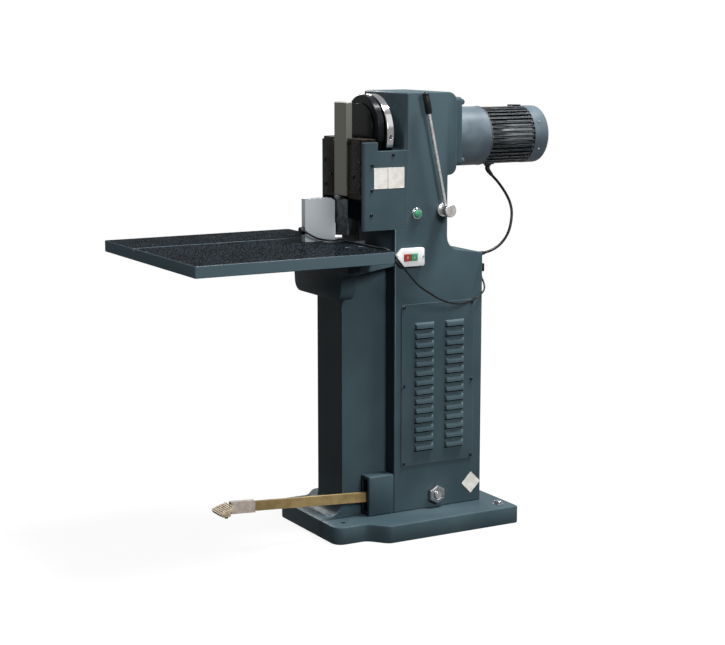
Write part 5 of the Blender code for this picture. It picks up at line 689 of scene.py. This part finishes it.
@dataclass
class Studio:
    """Camera at the photograph's angle, pale floor and soft lights.

    Floor and world look white to the camera. Reflections get mirrored_share of that white.
    Under the press the floor glows with white_share of that white, and with all of it past
    the second of its fade distances. The rest of it is matt and takes the shadow.
    """

    eye: Vector3 = (4.676, -2.747, 1.5657)
    tilt_degrees: float = 90 - 9.6662
    turn_degrees: float = 60.613
    lens_mm: float = 85.5
    sensor_mm: float = 36.0
    clip_end: float = 200.0
    floor_size: float = 40.0
    floor_seen: str = "#d8d8d8"
    floor_bounce: str = "#303030"
    mirrored_share: float = 0.42
    white_share: float = 0.90
    fade: Pair = (0.8, 3.6)
    ambient: tuple[float, float, float, float] = (0.93, 0.96, 1.0, 1.0)
    ambient_strength: float = 0.04
    lamps: tuple[Lamp, ...] = (
        Lamp("softbox", (1.8, 3.2, 10.6), 3.0, 2200.0),
        Lamp("side", (8.0, 0.2, 4.4), 2.4, 540.0),
        Lamp("reflector", (3.4, 3.6, 4.2), 3.4, 26.0, (0.0, 0.0, 1.2)),
        Lamp("front", (0.6, -6.4, 9.2), 2.6, 440.0),
        Lamp("far_side", (-8.0, 1.2, 4.6), 2.6, 360.0))

    def camera(self) -> None:
        """Make the camera and set it as the scene's."""
        data = bpy.data.cameras.new("camera")
        data.lens, data.sensor_width, data.clip_end = self.lens_mm, self.sensor_mm, self.clip_end
        obj = new_object("camera", data)
        obj.location = self.eye
        obj.rotation_euler = (math.radians(self.tilt_degrees), 0.0,
                              math.radians(self.turn_degrees))
        bpy.context.scene.camera = obj

    def seen_share(self, tree: Tree) -> tuple[Socket, Socket]:
        """Work out how much of the white a ray gets.

        Args:
            tree: The floor's or the world's node tree.

        Returns:
            Whether the ray comes from the camera, and its share of the white.
        """
        path = add_node(tree, "ShaderNodeLightPath")
        glossy = add_node(tree, "ShaderNodeMath", {"operation": "MAXIMUM"}, {
            0: path.outputs["Is Glossy Ray"], 1: path.outputs["Is Transmission Ray"]})
        mirrored = add_node(tree, "ShaderNodeMath", {"operation": "MULTIPLY"},
                            {0: glossy.outputs["Value"], 1: self.mirrored_share})
        seen = add_node(tree, "ShaderNodeMath", {"operation": "MAXIMUM"},
                        {0: path.outputs["Is Camera Ray"], 1: mirrored.outputs["Value"]})
        return path.outputs["Is Camera Ray"], seen.outputs["Value"]

    def floor(self) -> None:
        """Lay a floor that the camera sees white under a soft shadow, and pure white far away."""
        half = self.floor_size / 2
        corners = [(-half, -half, 0), (half, -half, 0), (half, half, 0), (-half, half, 0)]
        mesh = bpy.data.meshes.new("floor")
        mesh.from_pydata(corners, [], [(0, 1, 2, 3)])
        made = bpy.data.materials.new("pale_floor")
        made.use_nodes = True
        tree = made.node_tree
        tree.nodes.clear()
        from_camera, seen = self.seen_share(tree)
        place = add_node(tree, "ShaderNodeTexCoord").outputs["Object"]
        away = add_node(tree, "ShaderNodeVectorMath", {"operation": "LENGTH"}, {0: place})
        fade = add_node(tree, "ShaderNodeMapRange", {"interpolation_type": "SMOOTHSTEP"}, {
            "Value": away.outputs["Value"], "From Min": self.fade[0], "From Max": self.fade[1],
            "To Min": self.white_share, "To Max": 1.0})
        share = add_node(tree, "ShaderNodeMath", {"operation": "MULTIPLY"},
                         {0: seen, 1: fade.outputs["Result"]})
        colour = add_node(tree, "ShaderNodeMix", {"data_type": "RGBA"}, {
            MIX_FACTOR: from_camera, MIX_A: linear(self.floor_bounce),
            MIX_B: linear(self.floor_seen)})
        matt = add_node(tree, "ShaderNodeBsdfDiffuse", {}, {"Color": colour.outputs[MIX_RESULT]})
        white = add_node(tree, "ShaderNodeEmission", {}, {"Color": (1, 1, 1, 1), "Strength": 1.0})
        mixed = add_node(tree, "ShaderNodeMixShader", {}, {
            0: share.outputs["Value"], 1: matt.outputs["BSDF"], 2: white.outputs["Emission"]})
        add_node(tree, "ShaderNodeOutputMaterial", {}, {"Surface": mixed.outputs["Shader"]})
        mesh.materials.append(made)
        new_object("floor", mesh)

    def world(self) -> None:
        """Give a soft grey ambient light that camera and glossy rays see as white."""
        world = bpy.data.worlds.new("studio")
        bpy.context.scene.world = world
        world.use_nodes = True
        tree = world.node_tree
        tree.nodes.clear()
        _, seen = self.seen_share(tree)
        ambient = add_node(tree, "ShaderNodeBackground", {},
                           {"Color": self.ambient, "Strength": self.ambient_strength})
        white = add_node(tree, "ShaderNodeBackground", {}, {"Color": (1, 1, 1, 1), "Strength": 1.0})
        mixed = add_node(tree, "ShaderNodeMixShader", {}, {
            0: seen, 1: ambient.outputs["Background"], 2: white.outputs["Background"]})
        add_node(tree, "ShaderNodeOutputWorld", {}, {"Surface": mixed.outputs["Shader"]})

    def build(self) -> None:
        """Make the whole studio."""
        self.camera()
        self.floor()
        self.world()
        for lamp in self.lamps:
            lamp.build()
        bpy.context.scene.view_settings.view_transform = "Standard"


# ---------------------------------------------------------------- cords and spring

CORD_SPACING = 0.006
BOOT_SPACING = 0.002
# Points worked out between two points of a route, before even ones are read off.
FINE_STEPS = 24
# A direction that no cord runs along, to turn the boots' rings by.
ASKEW = np.array([0.31, 0.52, 0.79])
BOOT_SHARP_ANGLE = 60.0


def smooth_run(points: np.ndarray, spacing: float) -> np.ndarray:
    """Read a smooth curve through points at even steps.

    The curve is the centripetal one: its knots lie the square roots of the points'
    distances apart, and between two points the place is blended from the nearest four.

    Args:
        points: Array of shape (points, 3).
        spacing: The length between the points that are read off.

    Returns:
        Array of points with the first and last point kept.
    """
    padded = np.vstack([2 * points[0] - points[1], points, 2 * points[-1] - points[-2]])
    gaps = np.linalg.norm(np.diff(padded, axis=0), axis=1)
    knots = np.concatenate([[0.0], np.cumsum(gaps ** 0.5)])
    fine = []
    for i in range(1, len(padded) - 2):
        t = np.linspace(knots[i], knots[i + 1], FINE_STEPS, endpoint=False)[:, None]
        t0, t1, t2, t3 = knots[i - 1 : i + 3]
        p0, p1, p2, p3 = padded[i - 1 : i + 3]
        a1 = (t1 - t) / (t1 - t0) * p0 + (t - t0) / (t1 - t0) * p1
        a2 = (t2 - t) / (t2 - t1) * p1 + (t - t1) / (t2 - t1) * p2
        a3 = (t3 - t) / (t3 - t2) * p2 + (t - t2) / (t3 - t2) * p3
        b1 = (t2 - t) / (t2 - t0) * a1 + (t - t0) / (t2 - t0) * a2
        b2 = (t3 - t) / (t3 - t1) * a2 + (t - t1) / (t3 - t1) * a3
        fine.append((t2 - t) / (t2 - t1) * b1 + (t - t1) / (t2 - t1) * b2)
    line = np.vstack([*fine, padded[-2][None, :]])
    whole = lengths(line)[-1]
    return read_off(line, np.linspace(0, whole, max(3, round(whole / spacing) + 1)))


@dataclass
class CordRun:
    """A cord between two glands, laid on the same route as its solid."""

    node: str
    radius: float
    route: tuple[Vector3, ...]
    stiffness: str = "medium"
    lay: str = "hanging"

    def build(self) -> None:
        """Make the cord as one open curve of its radius, and hide its solid."""
        line = smooth_run(np.array(self.route), CORD_SPACING)
        curve = bpy.data.curves.new(self.node + "_sheath", "CURVE")
        curve.dimensions = "3D"
        curve.bevel_depth = self.radius
        curve.bevel_resolution = 4
        curve.use_fill_caps = True
        spline = curve.splines.new("POLY")
        spline.points.add(len(line) - 1)
        spline.points.foreach_set("co", np.hstack([line, np.ones((len(line), 1))]).ravel())
        spline.use_smooth = True
        obj = new_object(curve.name, curve)
        curve.materials.append(Finishes.CORD_SHEATH.material())
        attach(obj, "frame")
        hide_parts(self.node)


@dataclass
class ReturnSpring:
    """The compression spring in the column, wound finer than its solid.

    The wire's middle is (mean_radius cos t, mean_radius sin t, height), where the height
    goes with share + ease * sin(2 pi share), so the end turns climb a little more.
    """

    mean_radius: float = 0.0125
    wire_radius: float = 0.0015
    turns: float = 12.0
    around: int = 14
    per_turn: int = 36
    ease: float = 0.012
    keep: float = 0.935

    def build(self) -> None:
        """Wind the spring between its solid's ends."""
        low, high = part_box("return_spring")
        centre = np.array([(low.x + high.x) / 2, (low.y + high.y) / 2])
        steps = int(self.turns * self.per_turn) + 1
        share = np.linspace(0, 1, steps)
        angle = share * self.turns * 2 * math.pi
        rise = high.z - low.z - 2 * self.wire_radius
        eased = share + self.ease * np.sin(2 * math.pi * share)
        middle = np.stack([centre[0] + self.mean_radius * np.cos(angle),
                           centre[1] + self.mean_radius * np.sin(angle),
                           low.z + self.wire_radius + rise * eased], axis=1)
        outward = np.stack([np.cos(angle), np.sin(angle), np.zeros(steps)], axis=1)
        rings = tube_rings(middle, outward, np.full(steps, self.wire_radius), self.around)
        obj = skin("return_spring_wire", rings)
        obj.data.materials.append(Finishes.POLISHED_STEEL.material())
        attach(obj, "frame")
        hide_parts("return_spring")
        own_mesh(obj)
        LOG.info("%s with %.0f turns", obj.name, self.turns)


@dataclass(frozen=True)
class Boot:
    """A ribbed strain relief that tapers along the first part of a cord.

    Its rings sit square on the cord's own line. Their radius goes evenly from start_radius
    to end_radius, plus rib * sin^2(pi * ribs * share) at each share of the way.
    """

    name: str
    node: str
    from_end: bool
    length: float
    start_radius: float
    end_radius: float
    ribs: int = 5
    rib: float = 0.0007
    around: int = 20

    def build(self, line: np.ndarray) -> bpy.types.Object:
        """Make the boot on a cord's line.

        Args:
            line: The cord's points, in the order of its route.

        Returns:
            The boot, which rides with its gland.
        """
        points = line[::-1] if self.from_end else line
        even = np.linspace(0.0, self.length, 4 * self.ribs + 1)
        middle = read_off(points, even)
        side = np.cross(ways(middle), ASKEW)
        side /= np.linalg.norm(side, axis=1, keepdims=True)
        share = even / self.length
        radius = self.start_radius + (self.end_radius - self.start_radius) * share
        radius = radius + self.rib * np.sin(math.pi * self.ribs * share) ** 2
        ringed = skin(self.name, tube_rings(middle, side, radius, self.around), BOOT_SHARP_ANGLE)
        return settle(ringed, Finishes.BLACK_PLASTIC, "frame")


# ---------------------------------------------------------------- sub-assemblies

SCREW_STEPS = 24
# A plate's rim as a share of its shorter half, and its rings: how far in, as a share
# of the rim, and how high, as a share of the thickness.
RIM_SHARE = 0.06
RIM_PROFILE = ((0.0, 0.0), (0.0, 0.8), (0.3, 1.0), (0.9, 1.0), (1.1, 0.75))
RIM_SHARP_ANGLE = 3.0
# A knurl's bevelled ends: their width, but no more than a share of the band.
KNURL_EDGE = 0.0015
KNURL_EDGE_SHARE = 0.2
KNURL_SHARP_ANGLE = 50.0


@dataclass
class Castings:
    """The CAD nodes that keep their shape: copied, their edges rounded, their finish laid on.

    finishes gives for each finish its nodes. edges gives the rounding's width in
    millimetres and sharp_angles the least turn of a sharp edge in degrees, both where they
    aren't the usual ones.
    """

    usual_edge_mm: float = 0.8
    segments: int = 2
    weld_distance: float = 2e-6
    flat_degrees: float = 0.4
    sharp_angles: dict[str, float] = field(default_factory=lambda: {
        "louvre_cover": 11.0, "motor_body": 11.0})
    edges: dict[str, float] = field(default_factory=lambda: {
        "column_casting": 2.2, "front_post": 2.2, "base_plate": 2.2, "table_saddle": 2.0,
        "pedal_housing": 2.0, "table": 1.2, "motor_adapter": 1.4, "motor_body": 0.0,
        "louvre_cover": 0.4, "motor_fan": 0.3, "pedal_pad": 0.5, "front_guard": 0.5,
        "switch_box": 1.0, "wrist_pin": 0.3, "clutch_sleeve": 0.5})
    finishes: dict["Finishes", tuple[str, ...]] = field(default_factory=lambda: {
        Finishes.SLATE_ENAMEL: (
            "base_plate", "column_casting", "front_post", "pedal_housing", "table_saddle",
            "side_plate_right", "side_plate_left", "motor_adapter", "louvre_cover"),
        Finishes.TABLE_ENAMEL: ("table",),
        Finishes.BLACK_ENAMEL: ("connecting_rod", "crank_eccentric"),
        Finishes.ROUGH_BLACK: ("guide_rail_right", "guide_rail_left", "spring_seat"),
        Finishes.POLISHED_STEEL: (
            "crank_disc", "main_shaft", "wrist_pin", "button_bezel", "motor_shaft",
            "pedal_shaft"),
        Finishes.CHROME_PLATE: ("lever_hub", "lever_rod", "lever_boss"),
        Finishes.BRUSHED_STEEL: ("ram", "pull_rod", "spring_collar", "clutch_arm"),
        Finishes.TOOL_STEEL: (
            "punch", "punch_holder", "die_block", "clutch_sleeve", "clutch_wedge"),
        Finishes.ZINC_PLATE: ("shaft_nut_right", "shaft_nut_left"),
        Finishes.BEARING_BRONZE: ("front_bush", "rear_bush"),
        Finishes.PAINTED_ALUMINIUM: ("gear_head", "fan_cowl"),
        Finishes.FIN_ENAMEL: ("motor_body",),
        Finishes.GALVANISED_SHEET: ("front_guard",),
        Finishes.BLACK_PLASTIC: (
            "motor_gland", "rear_gland", "rear_elbow_gland", "guard_gland", "lever_grip",
            "motor_fan"),
        Finishes.WHITE_PLASTIC: ("switch_box",),
        Finishes.RED_PLASTIC: ("switch_red",),
        Finishes.GREEN_PLASTIC: ("switch_green", "push_button"),
        Finishes.MUSTARD_ENAMEL: ("pedal_bar",),
        Finishes.PRIMER: ("pedal_sleeve",),
        Finishes.PEDAL_PLATE: ("pedal_pad",),
    })

    def copy(self, node: bpy.types.Object) -> bpy.types.Mesh:
        """Merge a CAD node's loose triangles and join its flat ones into whole faces.

        Args:
            node: The CAD node.

        Returns:
            A new mesh, smooth but for its sharp edges.
        """
        shape = bmesh.new()
        shape.from_mesh(node.data)
        bmesh.ops.remove_doubles(shape, verts=shape.verts, dist=self.weld_distance)
        bmesh.ops.dissolve_limit(shape, angle_limit=math.radians(self.flat_degrees),
                                 use_dissolve_boundaries=False, verts=shape.verts,
                                 edges=shape.edges, delimit={"NORMAL"})
        mesh = bpy.data.meshes.new(node.name + "_finished")
        shape.to_mesh(mesh)
        shape.free()
        mesh.shade_smooth()
        sharp_angle = self.sharp_angles.get(node.name, SHARP_ANGLE)
        mesh.set_sharp_from_angle(angle=math.radians(sharp_angle))
        return mesh

    def build(self, frame: dict) -> None:
        """Make every copy and put it in its node's place.

        Args:
            frame: The loaded frame, with its nodes and record.
        """
        record = frame["record"]
        bodies = record["behaviour"]["bodies"]
        body_of = {node: body for body, nodes in bodies.items() for node in nodes}
        for finish, names in self.finishes.items():
            for name in names:
                mesh = self.copy(frame["nodes"][name])
                piece = new_object(mesh.name, mesh)
                width = self.edges.get(name, self.usual_edge_mm) * MILLIMETRE
                if width:
                    edge = piece.modifiers.new("rounded_edges", "BEVEL")
                    edge.width, edge.segments = width, self.segments
                    edge.limit_method, edge.angle_limit = "ANGLE", math.radians(SHARP_ANGLE)
                    edge.harden_normals = True
                settle(piece, finish, body_of[name])
                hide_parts(name)
                LOG.info("%s in %s", name, finish.value.name)


@dataclass(frozen=True)
class Screws:
    """Screws or bolts of one kind on one body, made as one piece.

    A head is turned from its seat outwards: washer, side, chamfer and socket. sides is 6
    for a hexagon and 0 for a round head, socket the socket's radius as a share of the
    head's, and washer the washer's radius.
    """

    name: str
    axis: Rows
    seats: tuple[Vector3, ...]
    radius: float
    height: float
    finish: "Finishes"
    sides: int = 0
    socket: float = 0.5
    washer: float = 0.0
    body: str = "frame"
    slot: str = "tool_steel"
    washer_height: float = 0.0012
    chamfer_share: float = 0.2
    socket_depth: float = 0.6
    socket_taper: float = 0.94

    def build(self) -> bpy.types.Object:
        """Turn one head for each seat.

        Returns:
            The heads as one piece.
        """
        base = self.washer_height if self.washer else 0.0
        chamfer = self.height * self.chamfer_share
        top = base + self.height
        profile = [(self.washer, 0.0), (self.washer, base)] if self.washer else []
        profile += [(self.radius, base), (self.radius, top - chamfer), (self.radius - chamfer, top)]
        if self.socket:
            mouth = self.radius * self.socket
            profile += [(mouth, top),
                        (mouth * self.socket_taper, top - self.height * self.socket_depth)]
        rings = np.array([turned_rings(self.axis, seat, profile, SCREW_STEPS, self.sides)
                          for seat in self.seats])
        return settle(skin(self.name, rings), self.finish, self.body)


@dataclass(frozen=True)
class Plate:
    """A thin blank plate or label with a low rim, on one face."""

    name: str
    axis: Rows
    centre: Vector3
    half: Pair
    corner: float
    finish: "Finishes"
    thickness: float = 0.0008
    turn: float = 0.0
    slot: str = "white_plastic"
    body: str = "frame"

    def build(self) -> bpy.types.Object:
        """Stack the plate's rings: side, rounded rim and its slightly lower field.

        Returns:
            The plate.
        """
        rim = min(self.half) * RIM_SHARE
        steps = tuple((rim * inset, self.thickness * rise) for inset, rise in RIM_PROFILE)
        rings = panel_rings(self.axis, self.centre, self.half, self.corner, steps, self.turn)
        return settle(skin(self.name, rings, RIM_SHARP_ANGLE), self.finish, self.body)


@dataclass(frozen=True)
class LouvreShadeBands:
    """A near-black band of painted shade under each hood of the louvre cover, where the pierced
    slot lies in the hood's shadow.

    The slots stand in two columns; row i lies first_z + i * pitch up.
    """

    rows: int = 14
    first_z: float = 0.2502
    pitch: float = 0.030
    centres_y: Pair = (0.0305, 0.1425)
    face_x: float = 0.1380
    half: Pair = (0.0345, 0.0027)
    corner: float = 0.0012
    profile: tuple[Pair, ...] = ((0.0, 0.0), (0.0, 0.0003), (0.0003, 0.0004))

    def build(self) -> bpy.types.Object:
        """Lay one low rounded panel of painted shade for each slot.

        Returns:
            The dark bands as one piece.
        """
        rings = np.array([
            panel_rings(Facing.RIGHT.value, (self.face_x, y, self.first_z + self.pitch * row),
                        self.half, self.corner, self.profile)
            for y in self.centres_y for row in range(self.rows)])
        return settle(skin("louvre_shade_bands", rings), Finishes.SLOT_SHADE, "frame")


@dataclass(frozen=True)
class Knurl:
    """A knurled or fluted band round a shaft, with the low and high end of its span.

    Between its rounded ends the radius is radius * (1 + depth * cos(teeth * t)) at angle t.
    """

    name: str
    axis: Rows
    centre: Vector3
    radius: float
    span: Pair
    teeth: int
    depth: float
    finish: "Finishes"
    body: str
    slot: str
    end_share: float = 0.8
    steps_per_tooth: int = 6

    def build(self) -> bpy.types.Object:
        """Turn the band and wave its surface.

        Returns:
            The band.
        """
        low, high = self.span
        edge = min(KNURL_EDGE, (high - low) * KNURL_EDGE_SHARE)
        inner, shoulder = self.radius * self.end_share, self.radius - edge
        profile = [(inner, low), (shoulder, low), (self.radius, low + edge),
                   (self.radius, (low + high) / 2), (self.radius, high - edge),
                   (shoulder, high), (inner, high)]
        steps = self.teeth * self.steps_per_tooth
        rings = turned_rings(self.axis, (0.0, 0.0, 0.0), profile, steps)
        along = np.array(self.axis[2], float)
        place = (rings @ along)[..., None] * along
        flat = rings - place
        angle = np.linspace(0, 2 * math.pi, steps, endpoint=False)
        flat[2:5] *= (1 + self.depth * np.cos(self.teeth * angle))[None, :, None]
        rings = flat + place + np.array(self.centre)
        return settle(skin(self.name, rings, KNURL_SHARP_ANGLE), self.finish, self.body)


@dataclass(frozen=True)
class SmallPieces:
    """Where the fasteners, blank plates, switch marks, knurls and the pad's foot sit.

    side_x is the right face of column and head. Seats on the side plates are (y, z), those
    on the right guide rail (x, z). lever_x is the middle of the lever's rod.
    """

    side_x: float = 0.1350
    side_plate_seats: tuple[Pair, ...] = (
        (-0.082, 1.187), (-0.156, 1.157), (-0.157, 1.081), (-0.159, 1.006))
    rail_seats: tuple[Pair, ...] = (
        (0.045, 1.2220), (0.112, 1.1630), (0.071, 1.1200), (0.108, 1.0870))
    cover_y: Pair = (-0.043, 0.207)
    cover_z: Vector3 = (0.7125, 0.4630, 0.2135)
    motor_axis_z: float = 1.228
    cowl_circle: float = 0.0918
    cowl_y: float = 0.4946
    cowl_degrees: tuple[float, ...] = (-28.4, 28.4, 151.6, 208.4)
    adapter_z: float = 1.250
    adapter_half: float = 0.0915
    lever_axis: Vector3 = (0.0, 0.094, 1.012)
    lever_x: float = 0.1613
    lever_lean: float = 12.2
    mark_height: float = 0.0003

    def cowl_screws(self) -> list[Screws]:
        """Return the fan cowl's screws, each facing out from the motor's axis."""
        made = []
        for number, angle in enumerate(np.radians(self.cowl_degrees), 1):
            x, z = math.cos(angle), math.sin(angle)
            seat = (self.cowl_circle * x, self.cowl_y, self.motor_axis_z + self.cowl_circle * z)
            made.append(Screws(
                f"cowl_screw_{number}", ((-z, 0, x), (0, -1, 0), (x, 0, z)), (seat,),
                radius=0.0042, height=0.0030, finish=Finishes.ZINC_PLATE, socket=0.55,
                slot="painted_aluminium"))
        return made

    def screws(self) -> list[Screws]:
        """Return the screws and bolts of plates, rails, base, adapter, table and strap."""
        zinc, black = Finishes.ZINC_PLATE, Finishes.BLACK_OXIDE
        right, left, back, front, up, _ = (facing.value for facing in Facing)
        adapter_z = (self.adapter_z - self.adapter_half, self.adapter_z + self.adapter_half)
        return [
            *(Screws(f"side_plate_screws_{name}", axis,
                     tuple((x, y, z) for y, z in self.side_plate_seats),
                     radius=0.0052, height=0.0026, finish=black)
              for name, axis, x in (("right", right, self.side_x), ("left", left, -self.side_x))),
            Screws(
                "louvre_cover_screws", right,
                tuple((0.1383, y, z) for z in self.cover_z for y in self.cover_y), radius=0.0050,
                height=0.0032, finish=black, socket=0.4),
            Screws(
                "rail_screws", front,
                tuple((side * x, -0.187, z) for side in (-1, 1) for x, z in self.rail_seats),
                radius=0.0060, height=0.0030, finish=black),
            Screws(
                "anchor_bolts", up, tuple(product((-0.205, 0.205), (0.272,), (0.057,))),
                radius=0.0120, height=0.0095, finish=zinc, sides=6, socket=0.0, washer=0.0170),
            Screws(
                "adapter_screws", back,
                tuple(product((-self.adapter_half, self.adapter_half), (0.1973,), adapter_z)),
                radius=0.0068, height=0.0016, finish=zinc, socket=0.6),
            Screws(
                "table_screws", up, tuple(product((-0.187, 0.187), (-0.268, -0.224), (0.9102,))),
                radius=0.0080, height=0.0070, finish=black, socket=0.55),
            Screws(
                "switch_box_screw", right, ((0.1533, 0.0165, 0.8710),), radius=0.0034,
                height=0.0012, finish=zinc),
            Screws(
                "guard_screws", up, tuple(product((0.0,), (-0.300, -0.245), (0.9235,))),
                radius=0.0042, height=0.0030, finish=zinc),
            Screws(
                "strap_bolts", up, tuple(product((-0.030, 0.030), (-0.106,), (1.3618,))),
                radius=0.0062, height=0.0050, finish=zinc, sides=6, socket=0.0, body="rod",
                slot="black_enamel"),
        ]

    def plates(self) -> list[Plate]:
        """Return the blank labels, the die's rear stop and the marks on the switch buttons."""
        right, white = Facing.RIGHT.value, Finishes.WHITE_PLASTIC
        red, green = ((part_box(name)[0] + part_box(name)[1]) / 2
                      for name in ("switch_red", "switch_green"))
        pressed_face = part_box("switch_red")[1].x
        labels = (("front", -0.1254, 1.1175, (0.0240, 0.0320), 0.0),
                  ("rear", -0.0712, 1.1175, (0.0288, 0.0320), 0.0),
                  ("diamond", 0.2120, 0.1210, (0.0250, 0.0250), math.pi / 4))
        return [
            *(Plate(f"blank_label_{name}", right, (self.side_x, y, z), half, corner=0.0020,
                    finish=Finishes.BLANK_FOIL, turn=turn) for name, y, z, half, turn in labels),
            Plate(
                "die_rear_stop", Facing.UP.value, (0.0, -0.1490, 0.9200), (0.0550, 0.0090),
                corner=0.0030, finish=Finishes.BLACK_OXIDE, thickness=0.0640, slot="tool_steel"),
            Plate(
                "switch_on_mark", right, (pressed_face, green.y, green.z), (0.0007, 0.0034),
                corner=0.0004, finish=white, thickness=self.mark_height, body="switch_green"),
            Plate(
                "switch_off_mark", right, (pressed_face, red.y, red.z), (0.0028, 0.0034),
                corner=0.0027, finish=white, thickness=self.mark_height, body="switch_red"),
            Plate(
                "switch_off_mark_middle", right, (pressed_face + self.mark_height, red.y, red.z),
                (0.0018, 0.0023), corner=0.0017, finish=Finishes.RED_PLASTIC, thickness=0.0002,
                slot="red_plastic", body="switch_red"),
        ]

    def pedal_fittings(self) -> list[Screws]:
        """Return the pedal shaft's nut and the foot under the pedal's pad."""
        return [
            Screws(
                "pedal_shaft_nut", Facing.RIGHT.value, ((0.1362, 0.078, 0.100),), radius=0.0265,
                height=0.0150, finish=Finishes.ZINC_PLATE, sides=6, socket=0.62, body="pedal"),
            Screws(
                "pedal_pad_foot", Facing.DOWN.value, ((0.108, -0.6450, 0.1192),), radius=0.0060,
                height=0.0050, finish=Finishes.BLACK_PLASTIC, socket=0.0, body="pedal",
                slot="black_rubber"),
        ]

    def knurls(self) -> list[Knurl]:
        """Return the knurled and ribbed bands of lever, bezel and gear head."""
        right, zinc = Facing.RIGHT.value, Finishes.ZINC_PLATE
        lean = math.radians(self.lever_lean)
        lever = ((1, 0, 0), (0, math.cos(lean), math.sin(lean)),
                 (0, -math.sin(lean), math.cos(lean)))
        return [
            Knurl(
                "lever_knob_knurl", right, self.lever_axis, radius=0.0201, span=(0.1785, 0.1888),
                teeth=30, depth=0.022, finish=zinc, body="lever", slot="polished_steel"),
            Knurl(
                "lever_grip_ribs", lever, (self.lever_x, *self.lever_axis[1:]), radius=0.0104,
                span=(0.3100, 0.3640), teeth=14, depth=0.030, finish=Finishes.BLACK_PLASTIC,
                body="lever", slot="black_rubber"),
            Knurl(
                "button_bezel_flutes", right, (0.0, 0.002, 1.004), radius=0.0184,
                span=(0.1354, 0.1392), teeth=24, depth=0.018, finish=zinc, body="frame",
                slot="polished_steel"),
            Knurl(
                "gear_head_band", Facing.BACK.value, (0.0, 0.0, self.motor_axis_z), radius=0.0948,
                span=(0.3065, 0.3105), teeth=60, depth=0.004, finish=Finishes.FIN_ENAMEL,
                body="frame", slot="painted_aluminium"),
        ]

    def build(self) -> None:
        """Build every small piece and report it."""
        for piece in (*self.cowl_screws(), LouvreShadeBands(), *self.screws(), *self.plates(),
                      *self.pedal_fittings(), *self.knurls()):
            LOG.info("%s", piece.build().name)


def cords() -> list[CordRun]:
    """Return the press's cords with their routes."""
    return [
        CordRun("motor_cord", radius=0.0045, route=(
            (0.0000, 0.3520, 1.1239), (0.0000, 0.3520, 1.1185), (0.0030, 0.3640, 1.1017),
            (0.0080, 0.3870, 1.0765), (0.0150, 0.4110, 1.0426), (0.0220, 0.4270, 1.0074),
            (0.0300, 0.4290, 0.9736), (0.0400, 0.4130, 0.9207), (0.0490, 0.3810, 0.8842),
            (0.0560, 0.3410, 0.8630), (0.0600, 0.3000, 0.8541), (0.0600, 0.2770, 0.8530),
            (0.0600, 0.2701, 0.8530))),
        CordRun("guard_cord", radius=0.0030, route=(
            (0.0153, -0.3283, 0.9550), (0.0210, -0.3283, 0.9550), (0.0290, -0.3170, 0.9470),
            (0.0290, -0.2950, 0.9350), (0.0280, -0.2700, 0.9275), (0.0300, -0.2450, 0.9238),
            (0.0400, -0.2240, 0.9233), (0.0600, -0.2100, 0.9233), (0.0900, -0.2050, 0.9233),
            (0.1400, -0.2040, 0.9233), (0.2000, -0.2040, 0.9233), (0.2550, -0.2030, 0.9233),
            (0.2820, -0.1990, 0.9235), (0.2940, -0.1850, 0.9160), (0.2900, -0.1640, 0.8960),
            (0.2810, -0.1370, 0.8700), (0.2700, -0.1080, 0.8415), (0.2537, -0.0622, 0.8005),
            (0.2342, -0.0083, 0.7683), (0.2172, 0.0385, 0.7441), (0.1965, 0.0956, 0.7245),
            (0.1790, 0.1480, 0.7170), (0.1620, 0.1940, 0.7220), (0.1490, 0.2290, 0.7330),
            (0.1360, 0.2530, 0.7450), (0.1200, 0.2660, 0.7580), (0.1060, 0.2690, 0.7730),
            (0.0980, 0.2608, 0.7955), (0.0980, 0.2608, 0.8015)), stiffness="limp"),
    ]


def boots() -> list[Boot]:
    """Return the strain reliefs, each at one end of its cord."""
    return [
        Boot("motor_cord_boot", "motor_cord", from_end=False, length=0.030,
             start_radius=0.0078, end_radius=0.0054),
        Boot("rear_cord_boot", "motor_cord", from_end=True, length=0.034,
             start_radius=0.0078, end_radius=0.0054),
        Boot("elbow_cord_boot", "guard_cord", from_end=True, length=0.022,
             start_radius=0.0060, end_radius=0.0038),
        Boot("guard_cord_boot", "guard_cord", from_end=False, length=0.016,
             start_radius=0.0048, end_radius=0.0037, ribs=3, rib=0.0004),
    ]


def main() -> None:
    """Dress the press: studio, cords, boots, spring, castings, then the small pieces."""
    logging.basicConfig(level=logging.INFO, format="%(message)s")
    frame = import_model()
    Studio().build()
    lines = {}
    for cord in cords():
        cord.build()
        lines[cord.node] = smooth_run(np.array(cord.route), BOOT_SPACING)
    for boot in boots():
        LOG.info("%s", boot.build(lines[boot.node]).name)
    ReturnSpring().build()
    Castings().build(frame)
    SmallPieces().build()


if __name__ == "__main__":
    main()
